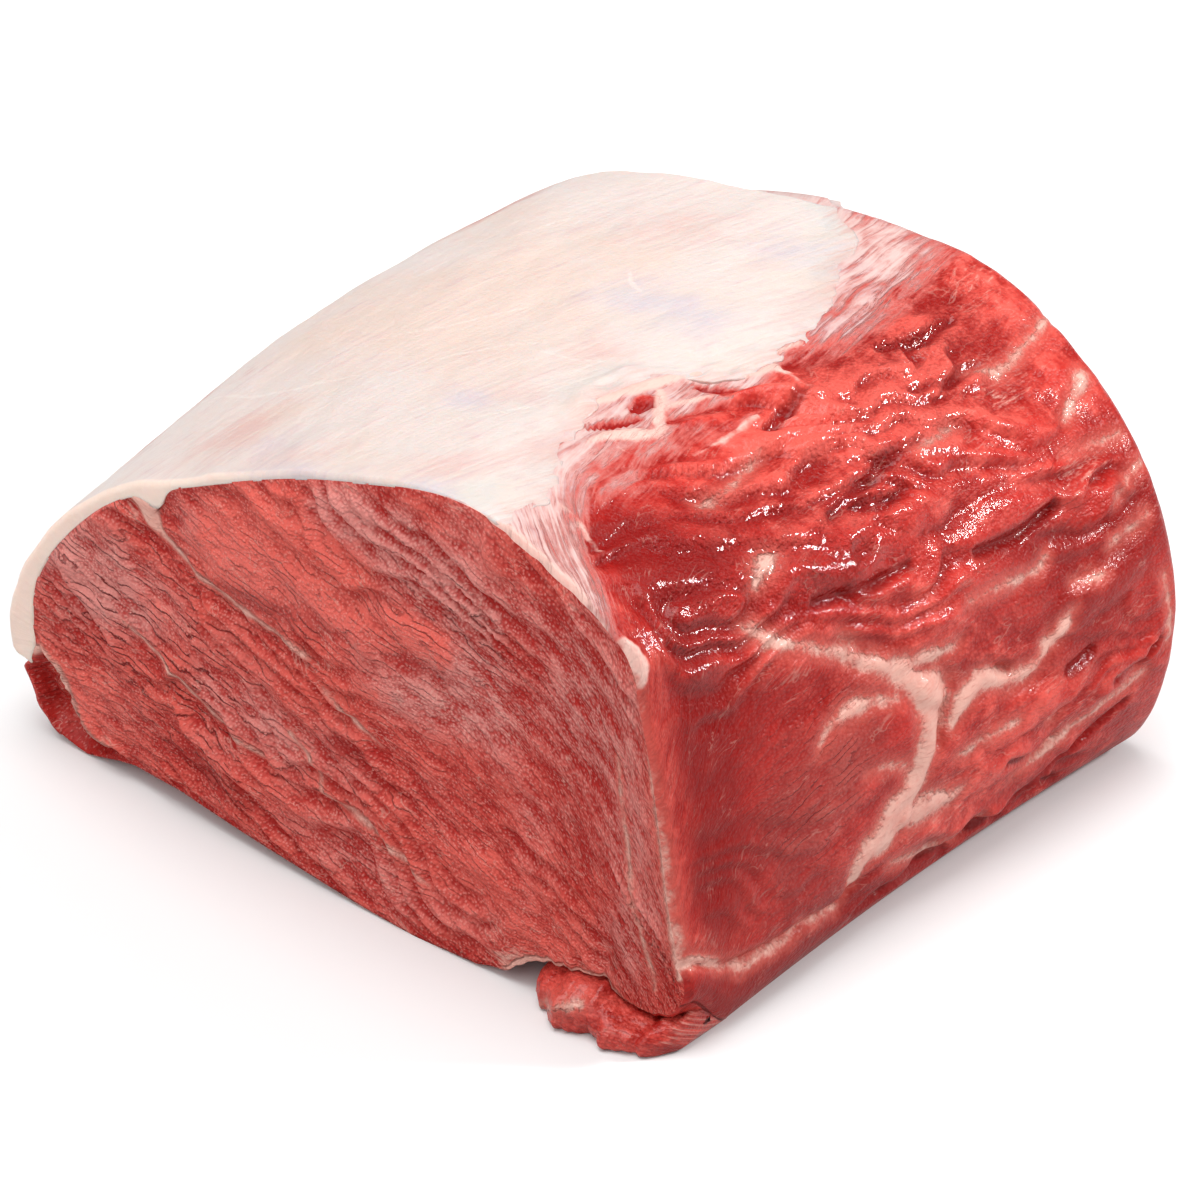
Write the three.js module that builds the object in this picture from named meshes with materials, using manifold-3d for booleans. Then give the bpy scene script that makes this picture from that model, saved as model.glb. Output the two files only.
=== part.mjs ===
// A raw beef roast: a squared block of lean meat, cut flat across the grain at both ends, with the
// carcass's fat cap left on its top and left side. Millimetres, +Z up. The origin is on the table
// under the middle of the block; -Y is the front cut face, +X its right-hand side.
import * as THREE from "three";
import { mergeVertices } from "three/addons/utils/BufferGeometryUtils.js";
import Module from "manifold-3d";

const wasm = await Module();
wasm.setup();

// ---- Driving dimensions ------------------------------------------------------------------------
const LENGTH = 143.5; // front cut face to back cut face
const FACE_BULGE = 6; // how far the foot of the front face swells towards -Y
const FACE_BULGE_CENTRE_X = 28;
const ROUNDING = { front: { depth: 1.8, inset: 1.2 }, back: { depth: 4, inset: 3 } }; // at the cut faces
const FAT_GAP = 0.3; // clearance between the lean and the fat cap
const FAT_EDGE_THICKNESS = 1.4;
const FAT_TOP_THICKNESS = 4.6;
const FAT_CHEEK_THICKNESS = 7.8; // over the left cheek, where the cap is thickest
const FAT_WEDGE = { x: -53, width: 3.5, depth: 3.2 }; // where the cap dips between two muscles
const CELLS = { redTop: 9, fatTop: 25, fatSide: 12, leftFoot: 4, along: 23 };

// Landmarks of the cross-section, [x, z], going round from the right foot over the top to the left.
// belly is how much each one swells half way along.
const LANDMARKS = [
  { name: "right foot", front: [86, 2], back: [86, 4], belly: [-2, 1] },
  { name: "right belly", front: [82, 34], back: [94, 33], belly: [1, 0] },
  { name: "right cheek", front: [76, 64], back: [86, 63], belly: [2, 1] },
  { name: "right shoulder", front: [70, 80], back: [71, 81], belly: [2, 2] },
  { name: "right crown", front: [51, 91], back: [47, 96], belly: [1, 1.5] },
  { name: "crown", front: [28, 97], back: [20, 99], belly: [0, 1] },
  { name: "top", front: [-5, 91], back: [-20, 95.5], belly: [0, 2] },
  { name: "left top", front: [-40, 77.5], back: [-60, 87], belly: [-1, 4] },
  { name: "left slope", front: [-70, 62.5], back: [-83, 70], belly: [-3, 5] },
  { name: "left cheek", front: [-90, 43], back: [-97, 46], belly: [-3, 3] },
  { name: "left belly", front: [-97.5, 24], back: [-100, 24], belly: [-2, 0] },
  { name: "left foot", front: [-90, 5], back: [-92, 5], belly: [0, 0] },
  { name: "left underside", front: [-79, -0.5], back: [-80, -0.5], belly: [0, 0] },
  { name: "right underside", front: [74, -0.5], back: [74, -0.5], belly: [0, 0] },
];
const mark = (name) => LANDMARKS.findIndex((landmark) => landmark.name === name);
const SHOULDER = mark("right shoulder");
const SLOPE = mark("left slope");
const FAT_HEM = mark("left belly") + 0.45; // the cap's lower edge, between the left belly and foot
const LEFT_FOOT = mark("left foot");

// Where the cap ends on the right: [distance back from the cut face, girth up from the right foot].
const FAT_EDGE = [
  [0, 124], [17, 118], [29, 126], [44, 132], [56, 131], [66, 123], [80, 119.5], [96, 124], [113, 133],
  [130, 142], [143.5, 154],
];

// Seams between muscles on the right side, [girth, back]; a negative depth stands proud.
const SIDE_SEAMS = [
  { route: [[73, 27], [69, 35], [57, 53], [47, 66]], width: 3, depth: 0.9 },
  { route: [[44, 108], [40, 98], [39, 87], [39, 76], [47, 66]], width: 3, depth: 0.7 },
  { route: [[47, 66], [36, 70], [24, 61], [12, 55]], width: 5, depth: -0.8 },
  { route: [[14, -2], [13, 4], [11, 14], [10, 26], [9, 43], [12, 57]], width: 3, depth: 1.6 },
  { route: [[12, 57], [5, 82], [18, 107], [23, 133]], width: 3, depth: 1.4 },
  { route: [[93, 33], [100, 52], [106, 69]], width: 3, depth: 1.2 },
  { route: [[101, 143], [97, 129], [96, 118], [98, 112]], width: 2.5, depth: 0.8 },
  { route: [[84, 92], [88, 104], [94, 112]], width: 3, depth: 1 },
];
// Seams on the front cut face, [x, z].
const CUT_SEAMS = [
  { route: [[-52, 66], [-40, 57], [-18, 53], [-5, 45], [10, 38]], width: 2.5, depth: 1.1 },
  { route: [[-64, 36], [-46, 30], [-27, 23], [-16, 20]], width: 2.2, depth: 0.9 },
  { route: [[-86, 32], [-84, 18], [-78, 10], [-62, 4]], width: 2.4, depth: 1.3 },
  { route: [[-14, 32], [-6, 25], [4, 20], [18, 16]], width: 2.4, depth: 0.8 },
];

// The ragged lower lip of the cut face at its right foot, [x, z], with a recess under it, and the
// flap of trimmed muscle lying in the recess, whose rim is [x, distance in front of the cut face].
const LIP = [
  [34, -1], [40, 1.6], [44, 2.2], [48, 6], [54, 8.8], [61, 9.4], [67, 10.8], [70, 8.4], [78, 6.4], [83, 8],
  [86, 12], [92, 15],
];
const RECESS_DEPTH = 8; // behind the cut face
const FLAP_RIM = [[50, -2], [53, 2], [56, 5], [61, 7.2], [67, 7.5], [73, 9.5], [79, 7], [84, 5.5], [85.5, 1]];
const FLAP_HEIGHT = 8;
const FLAP_DEPTH = 14; // how far the flap runs in under the block
const FLAP_CELLS = { across: 26, deep: 6 };

// ---- Small helpers -----------------------------------------------------------------------------
const mix = (a, b, share) => a + (b - a) * share;
const smooth = (low, high, value) => THREE.MathUtils.smoothstep(value, low, high);
const list = (count, make) => Array.from({ length: count }, (_, i) => make(i));

// Reads a list of [key, value] rows at a key, in straight steps.
function lookUp(rows, key) {
  const i = rows.findIndex(([k]) => k >= key);
  if (i < 0) return rows.at(-1)[1];
  if (i === 0) return rows[0][1];
  const [[k0, v0], [k1, v1]] = [rows[i - 1], rows[i]];
  return mix(v0, v1, (key - k0) / (k1 - k0));
}

// Shortest distance from (p, q) to a route of straight steps.
function distanceTo(route, p, q) {
  const toStep = ([a, b], [c, d]) => {
    const share = ((p - a) * (c - a) + (q - b) * (d - b)) / ((c - a) ** 2 + (d - b) ** 2);
    const kept = THREE.MathUtils.clamp(share, 0, 1);
    return Math.hypot(p - mix(a, c, kept), q - mix(b, d, kept));
  };
  return Math.min(...route.slice(1).map((end, i) => toStep(route[i], end)));
}

const seamRelief = (seams, p, q) =>
  -seams.reduce((sum, { route, width, depth }) => sum + depth * Math.exp(-((distanceTo(route, p, q) / width) ** 2)), 0);

// ---- The block's envelope ----------------------------------------------------------------------
function frontFace(x, z) {
  const across = Math.max(0, 1 - ((x - FACE_BULGE_CENTRE_X) / 100) ** 2);
  return -LENGTH / 2 - FACE_BULGE * across * Math.max(0, 1 - z / 115);
}

// The cross-section at share t of the length: a closed smooth curve in x and z, with the girth
// (length round it from the right foot) of each landmark number, and back again.
function section(t) {
  const swell = Math.sin(Math.PI * t);
  const curve = new THREE.CatmullRomCurve3(LANDMARKS.map(({ front, back, belly }) => new THREE.Vector3(
    mix(front[0], back[0], t) + belly[0] * swell, 0, mix(front[1], back[1], t) + belly[1] * swell)),
  true, "centripetal");
  curve.arcLengthDivisions = 40 * LANDMARKS.length;
  const rows = curve.getLengths().map((girth, i) => [i / 40, girth]);
  const turned = rows.map(([number, girth]) => [girth, number]);
  return { curve, girthAt: (number) => lookUp(rows, number), markAt: (girth) => lookUp(turned, girth) };
}

// Evenly spaced points of a section from one landmark number to another, without the last one.
function stretch({ curve, girthAt, markAt }, from, to, count) {
  return list(count, (i) => {
    const girth = mix(girthAt(from), girthAt(to), i / count);
    const number = markAt(girth);
    const share = (number / LANDMARKS.length) % 1;
    const [point, tangent] = [curve.getPoint(share), curve.getTangent(share)];
    return { girth, number, x: point.x, z: point.z, outX: tangent.z, outZ: -tangent.x };
  });
}

// The cap's thickness: thin at its right edge, thickest over the left cheek, with a wedge between
// the two muscles.
function fatThickness({ number, x }, edge) {
  const top = mix(FAT_EDGE_THICKNESS, FAT_TOP_THICKNESS, smooth(edge, edge + 1.6, number));
  const cheek = (FAT_CHEEK_THICKNESS - FAT_TOP_THICKNESS) * smooth(SLOPE - 0.6, SLOPE + 1.2, number);
  const hem = 1 - 0.55 * smooth(FAT_HEM - 0.9, FAT_HEM, number);
  const wedge = FAT_WEDGE.depth * Math.exp(-(((x - FAT_WEDGE.x) / FAT_WEDGE.width) ** 2));
  return (top + cheek) * hem + wedge;
}

const UPRIGHT = CELLS.fatSide + CELLS.leftFoot; // cells up the right side, as many as down the left
const ACROSS = CELLS.redTop + CELLS.fatTop; // over the top, as many as along the bottom
const FAT_FIRST = UPRIGHT + CELLS.redTop;
const FAT_LAST = FAT_FIRST + CELLS.fatTop + CELLS.fatSide;

// One ring of the block, set in from the envelope near the cut faces so that their edges are round.
function ring(back) {
  const t = back / LENGTH;
  const shape = section(t);
  const edge = shape.markAt(lookUp(FAT_EDGE, back));
  const inset = ROUNDING.front.inset * (1 - smooth(0, ROUNDING.front.depth, back))
    + ROUNDING.back.inset * smooth(LENGTH - ROUNDING.back.depth, LENGTH, back);
  const columns = [
    stretch(shape, 0, SHOULDER, UPRIGHT),
    stretch(shape, SHOULDER, edge, CELLS.redTop),
    stretch(shape, edge, SLOPE, CELLS.fatTop),
    stretch(shape, SLOPE, FAT_HEM, CELLS.fatSide),
    stretch(shape, FAT_HEM, LEFT_FOOT, CELLS.leftFoot),
    stretch(shape, LEFT_FOOT, LANDMARKS.length, ACROSS),
  ].flat();
  return columns.map((point, i) => {
    const hasFat = i >= FAT_FIRST && i <= FAT_LAST;
    return { ...point, t, back, inset, hasFat, fat: hasFat ? fatThickness(point, edge) : 0 };
  });
}

const STATIONS = [
  0, ROUNDING.front.depth,
  ...list(CELLS.along - 1, (i) => mix(ROUNDING.front.depth, LENGTH - ROUNDING.back.depth, (i + 1) / CELLS.along)),
  LENGTH - ROUNDING.back.depth, LENGTH,
];
const RINGS = STATIONS.map(ring);

// A ring's point moved out along its normal, never below the table.
function place(point, out) {
  const x = point.x + point.outX * (out - point.inset);
  const z = Math.max(0, point.z + point.outZ * (out - point.inset));
  return new THREE.Vector3(x, mix(frontFace(x, z), LENGTH / 2, point.t), z);
}

// ---- Relief ------------------------------------------------------------------------------------
// Muscle bundles and seams of the right side; the bundles run back and slightly down.
function sideRelief(girth, back) {
  const along = back + 0.35 * girth;
  const across = girth - 0.3 * back;
  const bundles = 0.9 * Math.sin(across / 6.1 + 1.3 * Math.sin(along / 21))
    + 0.6 * Math.sin(across / 3.7 + along / 15 + 1.1);
  const ends = smooth(0, 16, back) * (1 - smooth(LENGTH - 10, LENGTH, back));
  return (bundles * mix(0.45, 1, smooth(20, 60, girth)) + seamRelief(SIDE_SEAMS, girth, back)) * mix(0.15, 1, ends);
}

// Grain and seams of the front cut face, and the grain of the back one, as a rise out of the face.
const frontRelief = (x, z) =>
  0.7 * Math.sin(x / 17 + 1.5 * Math.sin(z / 14)) * Math.cos(z / 16 - x / 60)
  + 0.35 * Math.sin((z + 0.25 * x) / 3.9 + Math.sin(x / 12)) + seamRelief(CUT_SEAMS, x, z);
const backRelief = (x, z) =>
  0.8 * Math.sin(x / 19 + 2 + Math.sin(z / 15)) * Math.cos(z / 17 + x / 70)
  + 0.35 * Math.sin((z - 0.2 * x) / 4.2);

// ---- Closed meshes -----------------------------------------------------------------------------
function solidFrom(points) {
  const flat = points.flatMap(({ x, y, z }) => [x, y, z]);
  const loose = new THREE.BufferGeometry().setAttribute("position", new THREE.Float32BufferAttribute(flat, 3));
  const geometry = mergeVertices(loose, 1e-3);
  return new wasm.Manifold(new wasm.Mesh({
    numProp: 3,
    vertProperties: geometry.attributes.position.array,
    triVerts: new Uint32Array(geometry.index.array),
  }));
}

// Triangles of a grid of points [row][column]; turned faces them the other way.
function sheetOf(grid, turned = false) {
  return grid.slice(1).flatMap((row, i) => row.slice(1).flatMap((c, j) => {
    const [a, b, d] = [grid[i][j], row[j], grid[i][j + 1]];
    return turned ? [a, c, b, a, d, c] : [a, b, c, a, c, d];
  }));
}

// A closed slab between an upper and a lower grid with the same rows and columns.
function slabOf(upper, lower) {
  const rims = [
    [upper[0], lower[0]],
    [lower.at(-1), upper.at(-1)],
    [lower.map((row) => row[0]), upper.map((row) => row[0])],
    [upper.map((row) => row.at(-1)), lower.map((row) => row.at(-1))],
  ];
  return solidFrom([...sheetOf(upper), ...sheetOf(lower, true), ...rims.flatMap((rim) => sheetOf(rim, true))]);
}

// A face stretched over the four sides of a ring (a Coons patch), with faceY giving its relief.
function cutFace(loop, faceY) {
  const at = (i) => loop[i % loop.length];
  const right = (k) => at(k);
  const top = (i) => at(UPRIGHT + i);
  const left = (k) => at(2 * UPRIGHT + ACROSS - k);
  const bottom = (i) => at(loop.length - i);
  const inner = (i, k, axis) => {
    const [u, v] = [i / ACROSS, k / UPRIGHT];
    const sides = mix(bottom(i)[axis], top(i)[axis], v) + mix(right(k)[axis], left(k)[axis], u);
    const low = mix(right(0)[axis], left(0)[axis], u);
    const high = mix(right(UPRIGHT)[axis], left(UPRIGHT)[axis], u);
    return sides - mix(low, high, v);
  };
  return list(ACROSS + 1, (i) => list(UPRIGHT + 1, (k) => {
    if (k === 0) return bottom(i);
    if (k === UPRIGHT) return top(i);
    if (i === 0) return right(k);
    if (i === ACROSS) return left(k);
    const [x, z] = [inner(i, k, "x"), inner(i, k, "z")];
    return new THREE.Vector3(x, faceY(x, z), z);
  }));
}

// ---- Lean meat ---------------------------------------------------------------------------------
function block() {
  const loops = RINGS.map((columns) => columns.map((point) => {
    const relief = point.number < SHOULDER + 3 ? sideRelief(point.girth, point.back) : 0;
    return place(point, point.hasFat ? -point.fat - FAT_GAP : relief * smooth(3, 12, point.z));
  }));
  const front = cutFace(loops[0], (x, z) => frontFace(x, z) - frontRelief(x, z) * smooth(0, 8, z));
  const back = cutFace(loops.at(-1), (x, z) => LENGTH / 2 + backRelief(x, z) * smooth(0, 8, z));
  const sides = loops.map((loop) => [...loop, loop[0]]);
  return solidFrom([...sheetOf(sides), ...sheetOf(front, true), ...sheetOf(back)]);
}

// What is cut away under the front face's ragged lip.
function recess() {
  const below = -5;
  const outline = new THREE.Shape([
    new THREE.Vector2(LIP[0][0], below),
    ...LIP.map(([x, z]) => new THREE.Vector2(x, z)),
    new THREE.Vector2(LIP.at(-1)[0], below),
  ]);
  const cutter = new THREE.ExtrudeGeometry(outline, { depth: 30, bevelEnabled: false });
  cutter.rotateX(Math.PI / 2).translate(0, RECESS_DEPTH - LENGTH / 2, 0);
  const { position } = cutter.attributes;
  return solidFrom(list(position.count, (i) => new THREE.Vector3().fromBufferAttribute(position, i)));
}

// The flap: a tongue of muscle on the table, thin at its ragged rim and thick where it joins.
function flap() {
  const { across, deep } = FLAP_CELLS;
  const pointAt = (i, k, height) => {
    const x = mix(FLAP_RIM[0][0], FLAP_RIM.at(-1)[0], i / across);
    const ragged = 0.9 * Math.sin(x / 1.9) + 0.5 * Math.sin(x / 0.9 + 1);
    const rim = -LENGTH / 2 - lookUp(FLAP_RIM, x) - ragged;
    return new THREE.Vector3(x, mix(rim, FLAP_DEPTH - LENGTH / 2, k / deep), height);
  };
  const heightAt = (i, k) => (FLAP_HEIGHT + Math.sin(i * 0.9)) * mix(0.22, 1, smooth(0, 0.55, k / deep));
  const grid = (heightOf) => list(across + 1, (i) => list(deep + 1, (k) => pointAt(i, k, heightOf(i, k))));
  return slabOf(grid(heightAt), grid(() => 0));
}

// ---- Fat cap -----------------------------------------------------------------------------------
function fatCap() {
  const ripple = ({ girth, t }) => 0.35 * Math.sin(girth / 9 + 4 * t) * Math.cos(9 * t + girth / 31);
  const blanket = (outOf) => RINGS.map((columns) =>
    columns.slice(FAT_FIRST, FAT_LAST + 1).map((point) => place(point, outOf(point))));
  return slabOf(blanket(ripple), blanket((point) => -point.fat));
}

// ---- Assembly ----------------------------------------------------------------------------------
function meshOf(name, solid, material) {
  const { numProp, numVert, vertProperties, triVerts } = solid.getMesh();
  const corners = list(numVert, (i) => [...vertProperties.subarray(i * numProp, i * numProp + 3)]);
  const geometry = new THREE.BufferGeometry()
    .setAttribute("position", new THREE.Float32BufferAttribute(corners.flat(), 3))
    .setIndex(new THREE.BufferAttribute(triVerts, 1));
  geometry.computeVertexNormals();
  const mesh = new THREE.Mesh(geometry, material);
  mesh.name = name;
  return mesh;
}

const redMeat = new THREE.MeshStandardMaterial({ color: 0xb0473f, roughness: 0.45, metalness: 0 });
const creamFat = new THREE.MeshStandardMaterial({ color: 0xf6e2d6, roughness: 0.5, metalness: 0 });

const roast = new THREE.Group();
roast.add(meshOf("lean", block().subtract(recess()).add(flap()), redMeat));
roast.add(meshOf("fat_cap", fatCap(), creamFat));

export default roast;
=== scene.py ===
# A raw beef roast: a squared block of lean muscle, cut flat across the grain at both ends, with the
# carcass's fat cap on its top and left side. Lengths are millimetres until a mesh is made.
import math

import bpy
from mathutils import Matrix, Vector
import numpy as np


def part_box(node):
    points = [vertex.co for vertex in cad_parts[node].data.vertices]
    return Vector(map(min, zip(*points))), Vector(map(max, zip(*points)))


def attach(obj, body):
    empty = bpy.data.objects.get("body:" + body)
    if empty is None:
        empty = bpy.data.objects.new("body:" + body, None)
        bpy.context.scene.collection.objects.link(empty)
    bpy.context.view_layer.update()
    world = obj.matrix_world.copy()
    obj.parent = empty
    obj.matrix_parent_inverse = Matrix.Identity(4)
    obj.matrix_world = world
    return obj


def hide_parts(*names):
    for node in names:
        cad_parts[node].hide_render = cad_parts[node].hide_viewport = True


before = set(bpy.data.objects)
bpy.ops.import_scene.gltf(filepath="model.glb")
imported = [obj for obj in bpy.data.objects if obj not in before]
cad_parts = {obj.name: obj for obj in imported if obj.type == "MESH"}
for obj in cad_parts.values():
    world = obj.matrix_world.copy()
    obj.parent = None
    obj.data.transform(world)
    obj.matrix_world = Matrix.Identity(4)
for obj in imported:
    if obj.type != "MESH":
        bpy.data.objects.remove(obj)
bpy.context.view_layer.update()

# ---- Lean block: the form that every piece is fitted to ----------------------------------------
# The roast is one long muscle block, squared by the butcher's knife. Its cross-section is a closed
# smooth curve through landmarks that move a little from the front cut face to the back one.
MM = 0.001
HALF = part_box("fat_cap")[1].y / MM  # the back cut face; the front one is as far from the origin
LENGTH = 2 * HALF

# Right foot, belly, cheek, shoulder, crown; crown, top; left top, slope, cheek, belly, foot;
# underside left and right: (x, z) at the front, (x, z) at the back, and how far it swells half way.
LANDMARKS = np.array([
    [(86, 2), (86, 4), (-2, 1)],
    [(82, 34), (94, 33), (1, 0)],
    [(76, 64), (86, 63), (2, 1)],
    [(70, 80), (71, 81), (2, 2)],
    [(51, 91), (47, 96), (1, 1.5)],
    [(28, 97), (20, 99), (0, 1)],
    [(-5, 91), (-20, 95.5), (0, 2)],
    [(-40, 77.5), (-60, 87), (-1, 4)],
    [(-70, 62.5), (-83, 70), (-3, 5)],
    [(-90, 43), (-97, 46), (-3, 3)],
    [(-97.5, 24), (-100, 24), (-2, 0)],
    [(-90, 5), (-92, 5), (0, 0)],
    [(-79, -0.5), (-80, -0.5), (0, 0)],
    [(74, -0.5), (74, -0.5), (0, 0)],
], float)
MARKS = len(LANDMARKS)
SHOULDER, SLOPE, HEM, LEFT_FOOT = 3, 8, 10.45, 11  # landmark numbers; the cap's hem is between two
FACE_BULGE, FACE_BULGE_X, FACE_BULGE_WIDE, FACE_BULGE_TALL = 6.0, 28.0, 100.0, 115.0


def smooth(low, high, value):
    """0 below low, 1 above high, and 3w^2 - 2w^3 between."""
    w = np.clip((value - low) / (high - low), 0, 1)
    return w * w * (3 - 2 * w)


def mix(a, b, share):
    return a + (b - a) * share


def bell(distance, width):
    """1 at no distance, falling as e^-(distance / width)^2."""
    return np.exp(-((distance / width) ** 2))


def look_up(table, at):
    """A table's second column where its first is at, on straight lines between the rows."""
    return np.interp(at, *np.transpose(table))


def section(back, number):
    """Points (rows, columns, 2) of the closed centripetal Catmull-Rom curve through the landmarks, at
    each row's distance back from the front face and each column's landmark number."""
    t = (back / LENGTH)[:, None, None]
    marks = mix(LANDMARKS[:, 0], LANDMARKS[:, 1], t) + LANDMARKS[:, 2] * np.sin(np.pi * t)
    first = np.floor(number).astype(int)
    w = (number - first)[..., None]
    row = np.arange(len(back))[:, None]
    p0, p1, p2, p3 = (marks[row, (first + k) % MARKS] for k in (-1, 0, 1, 2))
    pairs = ((p0, p1), (p1, p2), (p2, p3))
    a0, a1, a2 = (np.sqrt(np.linalg.norm(q - p, axis=2, keepdims=True)) for p, q in pairs)
    t1 = ((p1 - p0) / a0 - (p2 - p0) / (a0 + a1) + (p2 - p1) / a1) * a1
    t2 = ((p2 - p1) / a1 - (p3 - p1) / (a1 + a2) + (p3 - p2) / a2) * a1
    return p1 + t1 * w + (-3 * p1 + 3 * p2 - 2 * t1 - t2) * w**2 + (2 * p1 - 2 * p2 + t1 + t2) * w**3


def girth_tables(back):
    """For each row, the girth (length round the section from the right foot) at fine steps of the
    landmark number, which np.interp reads both ways."""
    steps = np.linspace(0, MARKS, 40 * MARKS + 1)
    points = section(back, np.tile(steps, (len(back), 1)))
    lengths = np.linalg.norm(np.diff(points, axis=1), axis=2)
    return steps, np.concatenate([np.zeros((len(back), 1)), np.cumsum(lengths, axis=1)], axis=1)


def front_face(x, z):
    """y of the front cut face: flat, with a low swelling at its foot."""
    across = np.clip(1 - ((x - FACE_BULGE_X) / FACE_BULGE_WIDE) ** 2, 0, None)
    return -HALF - FACE_BULGE * across * np.clip(1 - z / FACE_BULGE_TALL, 0, None)


def ring_points(back, number, out):
    """Points (rows, columns, 3) on the section moved out along its normal, set between the faces."""
    point = section(back, number)
    tangent = section(back, number + 0.01) - section(back, number - 0.01)
    tangent /= np.linalg.norm(tangent, axis=2, keepdims=True)
    x = point[..., 0] + tangent[..., 1] * out
    z = np.maximum(0, point[..., 1] - tangent[..., 0] * out)
    return np.stack([x, mix(front_face(x, z), HALF, (back / LENGTH)[:, None]), z], axis=2)


def numbers_at(girth, steps, tables):
    """Landmark numbers at girths given row by row."""
    return np.array([np.interp(g, table, steps) for g, table in zip(girth, tables)])


def girths_at(number, steps, tables):
    """The girth at one landmark number, for each row."""
    return np.array([np.interp(number, steps, table) for table in tables])


def noise(seed, *coordinates):
    """Value noise from -1 to 1: random values at whole-number corners, blended by a quintic. Each
    coordinate is given divided by the size of a lump along it."""
    points = np.stack(np.broadcast_arrays(*coordinates), axis=-1).astype(float)
    corner = np.floor(points).astype(np.int64)
    f = points - corner
    f = f * f * f * (f * (f * 6 - 15) + 10)
    total = 0
    for bits in np.ndindex(*(2,) * points.shape[-1]):
        mixed = np.full(corner.shape[:-1], seed * 7919 + 13, np.uint32)
        weight = 1.0
        for axis, bit in enumerate(bits):
            mixed = (mixed ^ (corner[..., axis] + bit).astype(np.uint32)) * np.uint32(0x9E3779B1)
            mixed ^= mixed >> np.uint32(15)
            weight = weight * (f[..., axis] if bit else 1 - f[..., axis])
        mixed = mixed * np.uint32(0x85EBCA6B)
        mixed ^= mixed >> np.uint32(13)
        total = total + weight * (mixed / 2147483648.0 - 1)
    return total


def layered(seed, *coordinates, octaves=3):
    """Noise summed over octaves, each half as strong and twice as fine."""
    total = 0
    for k in range(octaves):
        total = total + noise(seed + k, *(c * 2**k + 17.3 * k for c in coordinates)) / 2**k
    return total


def outside(route, p, q):
    """Distance in mm from (p, q) to the rim of a tapering band: the least over its straight steps of
    the distance to the step less the band's half width there. Negative inside the band."""
    least = np.full(np.broadcast(p, q).shape, 1e3)
    for (a, b, wide), (c, d, wide_next) in zip(route, route[1:]):
        share = np.clip(((p - a) * (c - a) + (q - b) * (d - b)) / ((c - a) ** 2 + (d - b) ** 2), 0, 1)
        away = np.hypot(p - mix(a, c, share), q - mix(b, d, share)) - mix(wide, wide_next, share)
        least = np.minimum(least, away)
    return least


def outside_all(routes, p, q):
    """Distance to the rim of the nearest of several tapering bands."""
    return np.minimum.reduce([outside(route, p, q) for route in routes])


def patches(spots, p, q):
    """Sum of soft round patches: each (centre p, centre q, radius p, radius q, amount) is a bell."""
    total = 0
    for centre_p, centre_q, radius_p, radius_q, amount in spots:
        total = total + amount * bell(p - centre_p, radius_p) * bell(q - centre_q, radius_q)
    return total


# ---- Lean meat: where things lie on it ---------------------------------------------------------
# On the sides a place is (girth up from the right foot, distance back from the front face); on a
# cut face it is (x, z). The third number of each step is the half width of the band there.
# Girth of the fat's right edge, and of the silverskin's, at distances back.
FAT_EDGE = [
    (-1, 121), (0.8, 113), (17, 117.3), (28.7, 126.5), (43.8, 132.9), (50.5, 132.7), (58.3, 131.3),
    (62.6, 125.1), (73.4, 119.7), (80.7, 119.5), (89.1, 121.9), (95.8, 123.6), (112.7, 132.8),
    (129.6, 141.3), (141.7, 155), (144, 157),
]
RED_EDGE = [
    (0.9, 80.7), (4.8, 92.9), (12.2, 105.8), (21.4, 112.2), (32.9, 112.9), (43.1, 109.7), (54, 108.5),
    (67.3, 113), (80.1, 118.9), (93.4, 121.5), (110.3, 125.4), (124.8, 126.1), (138.1, 143.1),
    (143.5, 150),
]
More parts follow.
